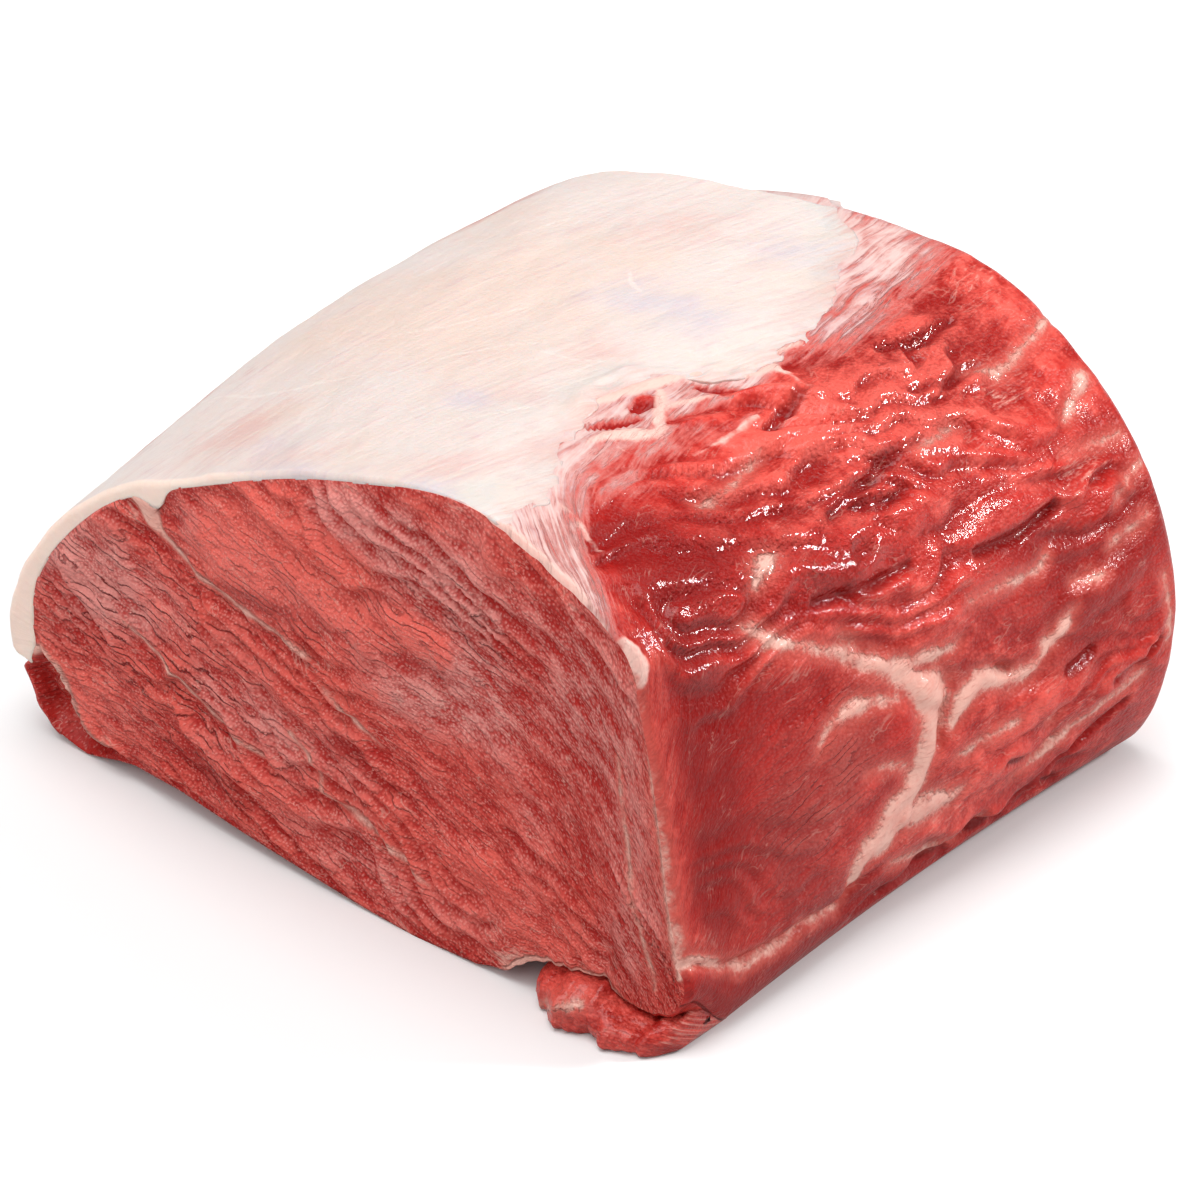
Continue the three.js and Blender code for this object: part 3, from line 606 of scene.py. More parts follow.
def face_indices(ring_index, first_inner):
    """Vertex numbers (NX + 1, NZ + 1) of a cut face: its rim is a ring's, its inside is its own."""
    grid = np.empty((NX + 1, NZ + 1), int)
    grid[1:-1, 1:-1] = first_inner + np.arange((NX - 1) * (NZ - 1)).reshape(NX - 1, NZ - 1)
    grid[0], grid[:, -1], grid[-1], grid[:, 0] = rim_sides(ring_index)
    return grid


def add_mesh(name, points, triangles, corner_values):
    """A smooth-shaded mesh object from points in mm, triangles, and values at each triangle corner."""
    mesh = bpy.data.meshes.new(name)
    mesh.vertices.add(len(points))
    mesh.vertices.foreach_set("co", (np.asarray(points) * MM).ravel())
    mesh.loops.add(triangles.size)
    mesh.loops.foreach_set("vertex_index", triangles.ravel().astype(np.int32))
    mesh.polygons.add(len(triangles))
    mesh.polygons.foreach_set("loop_start", np.arange(0, triangles.size, 3, dtype=np.int32))
    mesh.update(calc_edges=True)
    mesh.polygons.foreach_set("use_smooth", np.ones(len(triangles), bool))
    for key, values in corner_values.items():
        values = np.asarray(values, np.float32)
        kind, field = ("FLOAT_VECTOR", "vector") if values.ndim == 2 else ("FLOAT", "value")
        mesh.attributes.new(key, kind, "CORNER").data.foreach_set(field, values.ravel())
    piece = bpy.data.objects.new(name, mesh)
    bpy.context.scene.collection.objects.link(piece)
    return piece


def rows_back(front_end, front_rows, rows, rear_end, rear_rows):
    """Distances back of the rings: closer together over the two ends, where the edges are rounded."""
    return np.concatenate([
        np.linspace(0, front_end, front_rows)[:-1],
        np.linspace(front_end, LENGTH - rear_end, rows)[:-1],
        np.linspace(LENGTH - rear_end, LENGTH, rear_rows),
    ])


def lean_rings():
    """Points of the lean's rings, with the girth, distance back and landmark number of each. Under the
    cap the skin lies just inside the fat."""
    back = rows_back(2.5, 7, 156, 5, 10)
    steps, tables = girth_tables(back)
    edge = look_up(FAT_EDGE, back)
    marks = (SHOULDER, SLOPE, HEM, LEFT_FOOT, MARKS)
    shoulder, slope, hem, foot, end = (girths_at(mark, steps, tables) for mark in marks)
    stops = [np.zeros(len(back)), shoulder, edge + UNDER_FAT, slope, hem, foot, end]
    counts = [NZ, NR, NX - NR, NZ - LEFT_STRIP, LEFT_STRIP, NX]
    stretches = zip(stops, stops[1:], counts)
    girths = [mix(low[:, None], high[:, None], np.arange(count) / count) for low, high, count in stretches]
    girth = np.concatenate(girths, axis=1)
    number = numbers_at(girth, steps, tables)
    there = np.broadcast_to(back[:, None], girth.shape)
    on_left = -0.6 + 0.6 * layered(21, girth / 5, there / 9)
    meat = np.where(number < (SLOPE + SHOULDER) / 2, side_relief(girth, there), on_left)
    meat *= np.where(number > LEFT_FOOT, smooth(6, 0, girth - foot[:, None]), 1)
    above_hem = hem[:, None] - girth + 1.2 * noise(22, there / 6)
    covered = smooth(0.3, 3.2, girth - fat_edge_girth(there)) * smooth(-1, 1.5, above_hem)
    edge_number = numbers_at(edge, steps, tables)[:, None]
    under_cap = 0.25 - fat_thickness(number, edge_number, section(back, number)[..., 0], there)
    rounding = edge_rounding(back, FRONT_ROUND, BACK_ROUND)[:, None]
    out = mix(meat, under_cap, covered) - rounding * (1 - covered)
    return ring_points(back, number, out), girth, there, number


def lift_lip(points):
    """Raises the foot of the front face to its ragged lip, with a hollow under it that closes towards
    the back: each point rises by the lip's height, less the further back and the higher it is."""
    x, y, z = points.T
    behind = y - front_face(x, z)
    ragged = 0.5 * noise(23, x / 1.7) * smooth(38, 46, x)
    share = smooth(LIP_DEPTH, 1.5, behind) * np.clip(1 - z / LIP_RISE, 0, 1) ** 1.6
    return np.stack([x, y, z + (look_up(LIP, x) + ragged) * share], axis=1)


def side_flow(girth, back):
    """Coordinates along and across the fibres of the sides: upright near the front corner, then turning
    to run back, so the turn of the fibres is summed along the way back."""
    table = np.linspace(-5, 170, 351)
    turn = np.radians(mix(64, 12, smooth(6, 30, table)))
    rise = np.interp(back, table, np.cumsum(np.tan(turn)) * 0.5)
    warp = 1.8 * noise(33, back / 26, girth / 18) + 0.7 * noise(34, back / 10, girth / 8)
    along, across = 0.85 * back + 0.5 * girth + 900, 0.85 * (girth - rise) + warp
    return np.stack([along, across, np.zeros(girth.shape)], axis=-1)


def side_values(girth, back, seen):
    """What the meat's material reads on the sides; out of sight it is plain red muscle."""
    shingle, amount = side_shelves(girth, back)
    values = {key: patches(spots, girth, back) for key, spots in SIDE_PATCHES.items()}
    values["wet"] = np.clip(values["wet"], 0, 1)
    # Painted shade: deep red laid into the clefts.
    values["deep"] += 0.6 * bell(np.maximum(outside_all(CLEFTS, girth, back), 0), 1.3)
    values["pale"] += 0.3 * smooth(0.8, 1.0, shingle) * amount
    values["height"] = side_relief(girth, back)
    values = {key: value * seen for key, value in values.items()}
    return values | {
        "fibres": side_flow(girth, back),
        "tissue": outside_all([CORNER_LINE, *SIDE_TISSUE], girth, back),
        "silverskin": np.where(seen, silverskin_cover(girth, back), 0),
        "fat_bits": np.where(seen, -outside_all(BRIDGES, girth, back), NO_FAT_BIT),
        "cut": np.zeros(len(girth)),
    }


def cut_values(x, z, height, mirrored):
    """What the meat's material reads on a cut face. The back face is the front one mirrored, drier and
    with no seams."""
    nothing = np.zeros(len(x))
    values = {key: patches(spots, x, z) for key, spots in CUT_PATCHES.items()}
    return values | {
        "fibres": face_flow(x, z, mirrored, GRAIN_SLOPES),
        "tissue": nothing + FAR_OFF if mirrored else outside_all(CUT_TISSUE, x, z),
        "silverskin": nothing,
        "fat_bits": nothing + NO_FAT_BIT,
        "cut": nothing + 1,
        "height": height,
        "wet": nothing if mirrored else np.clip(values["wet"], 0, 1),
    }


def make_lean():
    """The rings, then each cut face's grid pushed out by its relief, then the lip."""
    ring, girth, back, number = lean_rings()
    rows, columns = girth.shape
    sparse_rows = np.arange(0, rows, ROW_STEP)
    hem = 2 * NZ + NX - LEFT_STRIP
    close = np.zeros(columns, bool)
    close[:NZ + NR] = True
    close[hem - ABOVE_HEM:hem + LEFT_STRIP + UNDER_FOOT] = True
    close[-UNDER_FOOT:] = True
    kept = close[None, :] | np.isin(np.arange(rows), sparse_rows)[:, None]
    index = np.where(kept, np.cumsum(kept).reshape(kept.shape) - 1, -1)
    points, heights = [ring[kept]], [np.zeros(kept.sum())]
    triangles = [ring_triangles(index, close, sparse_rows)]
    u, v = np.meshgrid(np.arange(1, NX) / NX, np.arange(1, NZ) / NZ, indexing="ij")
    inward = np.minimum(np.minimum(u, 1 - u) * FACE_WIDE, np.minimum(v, 1 - v) * FACE_TALL)
    for end, front in ((0, True), (rows - 1, False)):
        inner = stretched_face(ring[end])
        x, z = inner[..., 0], inner[..., 2]
        rise = face_relief(x, z, False) + front_seams(x, z) if front else face_relief(-x, z, True)
        raised = rise * smooth(0, 5, inward)
        y = front_face(x, z) - raised if front else HALF + raised
        triangles.append(grid_triangles(face_indices(index[end], sum(map(len, points))), turned=front))
        points.append(np.stack([x, y, z], axis=-1).reshape(-1, 3))
        heights.append(rise.ravel())
    flat_points, heights = np.concatenate(points), np.concatenate(heights)

    x, z = flat_points[:, 0], flat_points[:, 2]
    blank = np.zeros(len(flat_points) - kept.sum())
    g, b, n = (np.concatenate([grid[kept], blank]) for grid in (girth, back, number))
    values = [
        side_values(g, b, n < SLOPE),
        cut_values(x, z, heights, mirrored=False),
        cut_values(-x, z, heights, mirrored=True),
    ]
    corner_values = {}
    for key in values[0]:
        by_patch = [patch[key][corners.ravel()] for patch, corners in zip(values, triangles)]
        corner_values[key] = np.concatenate(by_patch)
    return add_mesh("lean_meat", lift_lip(flat_points), np.concatenate(triangles), corner_values)


# ---- Lean meat: the material -------------------------------------------------------------------
# Moist red muscle: bundles with thin slits between them, darkened by painted shade, with painted
# shade in the hollows of the grain and painted light on its ridges, pale tissue and silverskin, under
# a film of wet that sparkles where the side is freshly cut.
def srgb(red, green, blue):
    """A linear colour from sRGB parts of 255."""
    parts = (part / 255 for part in (red, green, blue))
    return tuple(c / 12.92 if c <= 0.04045 else ((c + 0.055) / 1.055) ** 2.4 for c in parts) + (1.0,)


PALE_TISSUE, PINK_TISSUE = srgb(230, 178, 163), srgb(212, 98, 86)
# The valley colours here and for the sides are painted shade for the hollows of the grain.
CUT_RED, CUT_VALLEY_SHADE, CUT_DULL = srgb(216, 90, 79), srgb(170, 34, 29), srgb(218, 134, 126)
CUT_BRIGHT, CUT_DEEP_AND_SHADE = srgb(230, 101, 89), srgb(148, 20, 18)
# Painted highlight: the colour of the pale glints on the pebbles.
# Painted shade: the colour of the slits between the bundles.
SLIT_SHADE, PAINTED_GLINT = srgb(122, 12, 12), srgb(248, 190, 180)
SIDE_RED, SIDE_VALLEY_SHADE, SIDE_BRIGHT = srgb(192, 46, 39), srgb(150, 18, 14), srgb(232, 92, 80)
SIDE_DEEP_AND_SHADE, SIDE_DULL = srgb(136, 12, 10), srgb(172, 78, 70)
SILVERSKIN, SILVER_BLUE, SILVER_WHITE = srgb(208, 162, 156), srgb(194, 160, 166), srgb(220, 200, 194)
FILM_PINK, FAT_BIT = srgb(206, 104, 96), srgb(236, 192, 180)
BUNDLE, PEBBLE_SIZE = 1.9, (0.8, 0.6, 1.0)  # mm across a shingle of the fine grain, and a pebble's size
GRAIN_DEPTH = 0.0013  # metres of bump for a height of 1


class Varying:
    """A socket whose value varies over the surface. Arithmetic on it adds Math nodes to its tree."""

    def __init__(self, socket):
        self.socket = socket
        self.nodes = socket.id_data.nodes

    def math(self, operation, *others):
        return varying(self.nodes, "ShaderNodeMath", dict(enumerate((self, *others))), operation=operation)

    def clamped(self):
        """The result of the last sum or product, kept between 0 and 1."""
        self.socket.node.use_clamp = True
        return self

    def __add__(self, other):
        return self.math("ADD", other)

    def __sub__(self, other):
        return self.math("SUBTRACT", other)

    def __mul__(self, other):
        return self.math("MULTIPLY", other)

    def __truediv__(self, other):
        return self.math("DIVIDE", other)

    def __rsub__(self, other):
        return self * -1.0 + other


def set_inputs(node, inputs):
    """Links each input to what varies, and sets the others to their constants."""
    for key, value in inputs.items():
        if isinstance(value, Varying):
            node.id_data.links.new(value.socket, node.inputs[key])
        else:
            node.inputs[key].default_value = value


def varying(nodes, kind, inputs=None, output=0, **settings):
    """One output of a new shader node with the given inputs and settings."""
    node = nodes.new(kind)
    for key, value in settings.items():
        setattr(node, key, value)
    set_inputs(node, inputs or {})
    return Varying(node.outputs[output])


def spread(value, low, high, to_low=0.0, to_high=1.0):
    """Maps low..high smoothly to to_low..to_high, with no overshoot."""
    inputs = {"Value": value, "From Min": low, "From Max": high, "To Min": to_low, "To Max": to_high}
    return varying(value.nodes, "ShaderNodeMapRange", inputs, interpolation_type="SMOOTHSTEP")


def between(share, low, high):
    """The number low where share is 0, and high where it is 1."""
    nodes = next(value.nodes for value in (share, low) if isinstance(value, Varying))
    return varying(nodes, "ShaderNodeMix", {0: share, 2: low, 3: high})


def tint(share, under, over):
    """The colour under, with over laid on it by share."""
    return varying(share.nodes, "ShaderNodeMix", {0: share, 6: under, 7: over}, 2, data_type="RGBA")


def bumped(height, depth):
    """The surface's normal with a height of 1 worth depth metres."""
    return varying(height.nodes, "ShaderNodeBump", {"Height": height, "Strength": 1.0, "Distance": depth})


def grain_noise(place, scale, detail=2.0, roughness=0.5):
    inputs = {"Vector": place, "Scale": scale, "Detail": detail, "Roughness": roughness}
    return varying(place.nodes, "ShaderNodeTexNoise", inputs)


def read(nodes, name, output="Fac"):
    return varying(nodes, "ShaderNodeAttribute", output=output, attribute_name=name)


def new_group(name, inputs, outputs):
    """An empty shader node group: its tree, the values it is given and the node for its results."""
    tree = bpy.data.node_groups.new(name, "ShaderNodeTree")
    for socket, kind in inputs.items():
        tree.interface.new_socket(socket, in_out="INPUT", socket_type=kind)
    for socket in outputs:
        tree.interface.new_socket(socket, in_out="OUTPUT", socket_type="NodeSocketFloat")
    ends = tree.nodes.new("NodeGroupInput"), tree.nodes.new("NodeGroupOutput")
    return tree, {key: Varying(ends[0].outputs[key]) for key in inputs}, ends[1]


def use(nodes, tree, inputs):
    """What a group puts out for these inputs."""
    node = nodes.new("ShaderNodeGroup")
    node.node_tree = tree
    set_inputs(node, inputs)
    return {socket.name: Varying(socket) for socket in node.outputs}


def drawn_out_noise():
    """Noise drawn out along the fibres to given lengths in mm, for the meat and the fat."""
    numbers = dict.fromkeys(("Along", "Across", "Detail", "Roughness", "Distortion"), "NodeSocketFloat")
    tree, given, results = new_group("drawn_out_noise", {"Fibres": "NodeSocketVector"} | numbers, ("Noise",))
    size = {"X": given["Along"], "Y": given["Across"], "Z": 1.0}
    lengths = varying(tree.nodes, "ShaderNodeCombineXYZ", size)
    place = varying(tree.nodes, "ShaderNodeVectorMath", {0: given["Fibres"], 1: lengths}, operation="DIVIDE")
    inputs = {key: given[key] for key in ("Detail", "Roughness", "Distortion")}
    inputs |= {"Vector": place, "Scale": 1.0}
    noise_here = varying(tree.nodes, "ShaderNodeTexNoise", inputs, noise_dimensions="2D")
    set_inputs(results, {"Noise": noise_here})
    return tree


DRAWN_OUT_NOISE = drawn_out_noise()


def fibre_noise(fibres, along, across, detail=2.0, roughness=0.55, distortion=0.0):
    inputs = {"Fibres": fibres, "Along": along, "Across": across, "Detail": detail, "Roughness": roughness,
              "Distortion": distortion}
    return use(fibres.nodes, DRAWN_OUT_NOISE, inputs)["Noise"]


def muscle_grain():
    """The muscle's bundles as height and tone, the tone being painted shade low in the hollows and
    painted light on raised shingles and pebbles, with the fibres' own tone: shingles whose lower edges
    stand over thin slits that open and close, covered in pebbles and fibres. Each shingle is a
    saw-tooth of the distance across the grain, bent by noise."""
    inputs = {"Fibres": "NodeSocketVector", "Openness": "NodeSocketFloat", "Shingles": "NodeSocketFloat"}
    outputs = ("Slit", "Height", "ShadeAndGrain", "Fibre", "Pebble")
    tree, given, results = new_group("muscle_grain", inputs, outputs)
    fibres, openness = given["Fibres"], given["Openness"]
    across = varying(tree.nodes, "ShaderNodeSeparateXYZ", {0: fibres}, "Y")
    bend = fibre_noise(fibres, 15, 4.5)
    rolling = fibre_noise(fibres, 6.5, 2.4)
    fibre = fibre_noise(fibres, 3.0, 0.55, 2.0, 0.6)
    place = varying(tree.nodes, "ShaderNodeVectorMath", {0: fibres, 1: PEBBLE_SIZE}, operation="DIVIDE")
    cells = varying(tree.nodes, "ShaderNodeTexVoronoi", {"Vector": place, "Scale": 1.0}, "Distance",
                    feature="F1", voronoi_dimensions="2D")
    pebble = spread(cells, 0.8, 0.05)

    step = (bend * 3.2 + across / BUNDLE + pebble * 0.08).math("FRACT")
    shingle = (step / 0.16).math("MINIMUM", (1.0 - step) / 0.84)
    raised = shingle * (spread(rolling, 0.4, 0.62) * given["Shingles"] * (openness * 0.7 + 0.3).clamped())
    to_edge = (step * 1.5).math("MINIMUM", 1.0 - step)
    open_here = spread(rolling, 0.42, 0.54) * openness
    slit = (spread(to_edge, 0.12, 0.03) * open_here).clamped()
    set_inputs(results, {
        "Height": raised * 0.42 + rolling * 0.9 + pebble * 0.14 + fibre * 0.16 - slit * 0.3,
        # Painted shade and light: the tone is low in the hollows and slits of the relief and high on raised
        # shingles and pebbles, with the fibres' own tone mixed in.
        "ShadeAndGrain": raised * 0.2 + pebble * 0.17 + fibre * 0.25 + rolling * 0.6,
        "Slit": slit, "Fibre": fibre, "Pebble": pebble,
    })
    return tree


def marbling(fibres):
    """Thin pale threads between the bundles, 0 to 1, broken up along their length."""
    off_line = (fibre_noise(fibres, 13, 4.2, 3.0, 0.62, 0.4) - 0.5).math("ABSOLUTE")
    return spread(off_line, 0.016, 0.0) * spread(fibre_noise(fibres, 9, 7, 1.0), 0.5, 0.62)


MUSCLE_GRAIN = muscle_grain()


def muscle_colour(values, grain, threads, broad, middling, beads):
    """Red muscle, with painted shade in its valleys and painted light on its ridges, on the sides and on
    the cut faces: dulled by the air, bright or deep in patches, the deep ones partly painted shade, with
    painted shade in the slits and painted glints on the pebbles, and paler where fat is under it."""
    cut, fibre = values["cut"], grain["Fibre"]
    side_shade_tone = values["height"] * 0.2 + between(0.42, grain["ShadeAndGrain"], middling)
    cut_shade_tone = values["height"] * 0.17 + grain["ShadeAndGrain"]
    # Painted shade and light: darker in the valleys of the relief and lighter on its ridges.
    ridge = spread(between(cut, side_shade_tone, cut_shade_tone), 0.26, 0.76)
    dulled = values["dull"] + broad
    brighter = spread(middling * 1.3 + values["bright"], 0.85, 1.45)
    on_cut = tint(spread(dulled, 0.45, 1.15), CUT_RED, CUT_DULL)
    on_cut = tint(brighter, on_cut, CUT_BRIGHT)
    on_cut = tint((brighter * 0.35 + ridge).clamped(), CUT_VALLEY_SHADE, on_cut)
    on_side = tint(spread(values["bright"] * 0.35 + middling, 0.45, 0.85), SIDE_RED, SIDE_BRIGHT)
    on_side = tint(spread(dulled, 0.6, 1.2), on_side, SIDE_DULL)
    on_side = tint(ridge, SIDE_VALLEY_SHADE, on_side)
    colour = tint(cut, on_side, on_cut)
    # Deep red: partly the meat's own tone, partly painted shade in clefts, hollows and below seams.
    deeper = spread(middling * 1.2 + values["deep"], 0.75, 1.4, 0.0, cut * -0.35 + 0.85)
    colour = tint(deeper, colour, tint(cut, SIDE_DEEP_AND_SHADE, CUT_DEEP_AND_SHADE))
    # Painted shade: the thin slits between bundles are darkened to a deep red.
    colour = tint(grain["Slit"] * 0.9, colour, SLIT_SHADE)
    # Painted glints: pinkish-white specks on the pebbles where the wet beads rise.
    painted_glints = spread(grain["Pebble"], 0.55, 0.95) * spread(beads, 0.45, 0.6)
    colour = tint(painted_glints * (cut * 0.17 + 0.03), colour, PAINTED_GLINT)
    paler = values["pale"] + (fibre * 1.6 - 0.8)
    colour = tint(spread(paler, 0.35, 1.2, 0.0, 0.75), colour, PALE_TISSUE)
    return tint(threads * between(cut, 0.2, 0.35), colour, PALE_TISSUE)


def meat_material():
    """The muscle's colour, with pale tissue, silverskin and bits of fat laid over it in turn, under a
    thin wet coat."""
    material = bpy.data.materials.new("red_meat")
    material.use_nodes = True
    nodes = material.node_tree.nodes
    place = varying(nodes, "ShaderNodeTexCoord", output="Object")
    fibres = read(nodes, "fibres", "Vector")
    keys = ("cut", "height", "tissue", "silverskin", "fat_bits", *SIDE_PATCHES)
    values = {key: read(nodes, key) for key in keys}
    cut, wet, film = values["cut"], values["wet"], values["silverskin"]
    shingles = between(cut, 0.5, 1.0)
    grain = use(nodes, MUSCLE_GRAIN, {"Fibres": fibres, "Openness": values["split"], "Shingles": shingles})
    fibre = grain["Fibre"]
    broad = grain_noise(place, 60.0, 2.0, 0.55)
    middling = grain_noise(place, 210.0, 3.0, 0.6)
    beads = grain_noise(place, 1150.0)
    colour = muscle_colour(values, grain, marbling(fibres), broad, middling, beads)

    wander = (beads + middling * 2.2) * 1.8 - 2.9
    off_tissue = wander * between(cut, 1.0, 0.35) + values["tissue"]
    colour = tint(spread(off_tissue, between(cut, 3.4, 1.8), -0.8, 0.0, 0.75), colour, PINK_TISSUE)
    core = spread(off_tissue, 0.7, between(cut, -1.5, -0.7))
    core = (core * (fibre * 1.1 + 0.42)).clamped()
    pinker = spread(fibre * 0.6 + middling, 0.65, 1.15, 0.0, 0.45)
    colour = tint(core, colour, tint(pinker, PALE_TISSUE, PINK_TISSUE))

    streaked = fibre_noise(fibres, 18, 1.7, 3.0, 0.6, 0.6) * 1.1 + middling * 0.6 + fibre * 0.4 - 1.08
    covered = film + streaked * spread(film, 0.02, 0.3)
    colour = tint(spread(covered, 0.1, 0.5, 0.0, 0.75), colour, FILM_PINK)
    skin = tint(spread(broad + fibre, 0.9, 1.2, 0.0, 0.45), SILVERSKIN, SILVER_BLUE)
    skin = tint(spread(covered, 0.75, 1.15, 0.0, 0.7), skin, SILVER_WHITE)
    veil = spread(covered, 0.35, 0.95, 0.0, 0.95)
    colour = tint(veil, colour, skin)
    on_bit = spread(values["fat_bits"] + (middling * 3.0 - 1.5), -0.5, 0.7)
    colour = tint(on_bit, colour, tint(pinker * 0.6, FAT_BIT, PINK_TISSUE))

    height = grain["Height"] * between(cut, 0.36, 1.0)
    height = height + beads * (wet * 0.7 + 0.04) + middling * (wet * 0.7 + 0.4)
    height = height * spread(core.math("MAXIMUM", veil), 0.0, 1.0, 1.0, 0.35)
    set_inputs(nodes["Principled BSDF"], {
        "Base Color": colour,
        "Roughness": between(cut, 0.36, 0.52) + (middling * 0.3 - 0.15),
        "Normal": bumped(height, GRAIN_DEPTH),
        "IOR": 1.36,
        "Specular IOR Level": 0.28,
        "Coat Weight": (between(cut, 0.22, 0.03) + wet * 0.8).clamped(),
        "Coat Normal": bumped(beads * 0.1 + middling * 0.2, GRAIN_DEPTH),
        "Coat Roughness": 0.06,
        "Coat IOR": 1.4,
    })
    return material


def dress(piece, material, node):
    """Gives a piece its material, and lets it ride on the roast in place of a solid."""
    piece.data.materials.append(material)
    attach(piece, "root")
    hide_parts(node)


RED_MEAT = meat_material()
lean_meat = make_lean()
dress(lean_meat, RED_MEAT, "lean")


# ---- Flap under the lip ------------------------------------------------------------------------
# The loose front end of the lowest layer of muscle. The knife left it hanging under the cut face's
# lip, where it lies on the table as a dark wet tongue, flush with the right side.
FLAP_FROM, FLAP_TO, FLAP_DEPTH = 48.5, 85.4, 17.0  # x at its two ends, and how far in it lies
# How far the tongue comes out in front of the face along x.
FLAP_REACH = [
    (48.5, -3), (51, 0.5), (54, 3.5), (58, 6), (61, 7.0), (67, 6.4), (73, 7.0), (78, 5.6), (82, 3.6),
    (85.5, 1),
]
FLAP_STREAK = [(54, 0.3, 0.3), (58, 3.2, 0.7), (63, 6.0, 0.9), (66, 6.8, 0.3)]  # pale: x, z, half width
NOSE_ROUND = 2.2  # how far its nose stands out before its upper and lower edges
FLAP_LOOK = {"wet": 0.5, "deep": 0.2, "bright": 0.7, "split": 0.3, "dull": 0}  # the same all over it


def closed_tube(rings, first_pole, last_pole):
    """Points and triangles of a skin through rings (rows, columns, 3), drawn together at both ends."""
    rows, columns = rings.shape[:2]
    index = np.arange(rows * columns).reshape(rows, columns)
    around = np.concatenate([index, index[:, :1]], axis=1)
    first, last = (np.full(columns, rows * columns + k) for k in (0, 1))
    triangles = [
        grid_triangles(around),
        np.stack([first, around[0, 1:], around[0, :-1]], axis=1),
        np.stack([last, around[-1, :-1], around[-1, 1:]], axis=1),
    ]
    return np.concatenate([rings.reshape(-1, 3), [first_pole, last_pole]]), np.concatenate(triangles)


def flap_values(at):
    """What the meat's material reads on the flap's corners: wet side muscle with one pale streak."""
    x, y, z = at.T
    nothing = np.zeros(len(at))
    constants = FLAP_LOOK | {"cut": 0, "height": 0, "silverskin": 0, "fat_bits": NO_FAT_BIT}
    return {key: nothing + value for key, value in constants.items()} | {
        "fibres": np.stack([x + 1700, z + 0.5 * y, nothing], axis=1),
        "tissue": outside(FLAP_STREAK, x, z),
        "pale": 0.5 * smooth(80, 84, x),
    }


def make_flap():
    """A tongue whose section at each x goes back along the table, round its nose and forward over its
    top; the section shrinks to a point at both ends."""
    u = (1 - np.cos(np.linspace(0, np.pi, 90)[1:-1])) / 2
    x = mix(FLAP_FROM, FLAP_TO, u)[:, None]
    v = np.linspace(0, 1, 64, endpoint=False)[None, :]
    reach = look_up(FLAP_REACH, x) + 0.9 * noise(71, x / 2.6) + 0.5 * noise(72, x / 1.1)
    tall = look_up(LIP, x) - 0.4 + 0.6 * noise(73, x / 3.0)
    nose = front_face(x, 0) - reach
    turn = np.pi * np.clip((v - 0.3) / 0.4, 0, 1)
    bulge = np.sin(turn) ** 0.8
    run = np.where(v < 0.5, smooth(0.3, -0.02, v), smooth(0.7, 1.02, v))
    y = nose + NOSE_ROUND * (1 - bulge) + (FLAP_DEPTH + reach - NOSE_ROUND) * run
    z = tall * np.clip((1 - np.cos(turn)) / 2, 0, 1) * mix(0.75, 1.0, smooth(0, 7, y - nose))
    lumps = 0.7 * noise(74, x / 4, y / 3, z / 3) + 0.35 * noise(75, x / 1.8, y / 1.6, z / 1.6)
    y = y - lumps * bulge
    z = np.maximum(z + 0.6 * lumps * smooth(0.45, 0.6, v), 0)
    shrink = np.clip(1 - np.abs(2 * u[:, None] - 1) ** 14, 0, 1) ** 0.5
    y, z = mix(nose + 8, y, shrink), mix(tall * 0.45, z, shrink)
    rings = np.stack(np.broadcast_arrays(x, y, z), axis=-1)[:, ::-1]
    tips = [(end, front_face(end, 0) + 6, height) for end, height in ((FLAP_FROM, 0.45), (FLAP_TO, 4.5))]
    points, triangles = closed_tube(rings, *tips)
    return add_mesh("flap", points, triangles, flap_values(points[triangles.ravel()]))


flap = make_flap()
dress(flap, RED_MEAT, "lean")


# ---- Fat cap -----------------------------------------------------------------------------------
# The layer of firm cream fat left on the outside of the carcass. It is grown to the lean, feathers
# out along its ragged right edge, and shows its thickness on the two cut faces.
FAT_COLUMNS, FAT_ROWS, FAT_LAYERS = 190, 150, 5
FAT_ROUND = 0.9  # radius of its edge on the front cut face
CREAM, WARM_CREAM, FAT_WHITE = srgb(220, 205, 199), srgb(221, 199, 188), srgb(234, 222, 214)
# The last colour is painted light for the cap's front cut end.
FAT_PINK, FAT_BLUE, FAT_END_PAINTED_LIGHT = srgb(214, 160, 152), srgb(200, 190, 198), srgb(252, 222, 206)
MEAT_THROUGH = srgb(190, 112, 104)
# Soft patches on the cap (girth, back, radius, radius, amount): warmer, blushed, bluish, or so thin
# that the meat shows through.
FAT_PATCHES = {
    "warm": [
        (200, 70, 26, 26, 0.8), (186, 84, 18, 16, 0.6), (172, 50, 16, 14, 0.4), (226, 70, 14, 30, 0.4),
    ],
    "blush": [
        (203, 17, 12, 10, 0.8), (177, 7, 12, 8, 0.5), (178, 117, 14, 10, 0.6), (128, 22, 6, 8, 0.7),
        (138, 9, 8, 7, 0.6), (148, 60, 8, 8, 0.5), (132, 100, 6, 20, 0.5), (150, 38, 8, 6, 0.4),
    ],
    "cool": [
        (158, 84, 12, 7, 0.9), (142, 82, 10, 9, 0.6), (156, 34, 8, 5, 0.8), (184, 11, 10, 6, 0.6),
        (146, 118, 12, 9, 0.8), (172, -1, 16, 4, 0.9), (133, 0, 8, 5, 0.9),
    ],
    "thin": [
        (246, 25, 7, 12, 0.9), (243, 38, 6, 10, 0.8), (231, 43, 5, 7, 0.4), (236, 118, 7, 14, 1.0),
        (233, 132, 6, 10, 0.7),
    ],
}
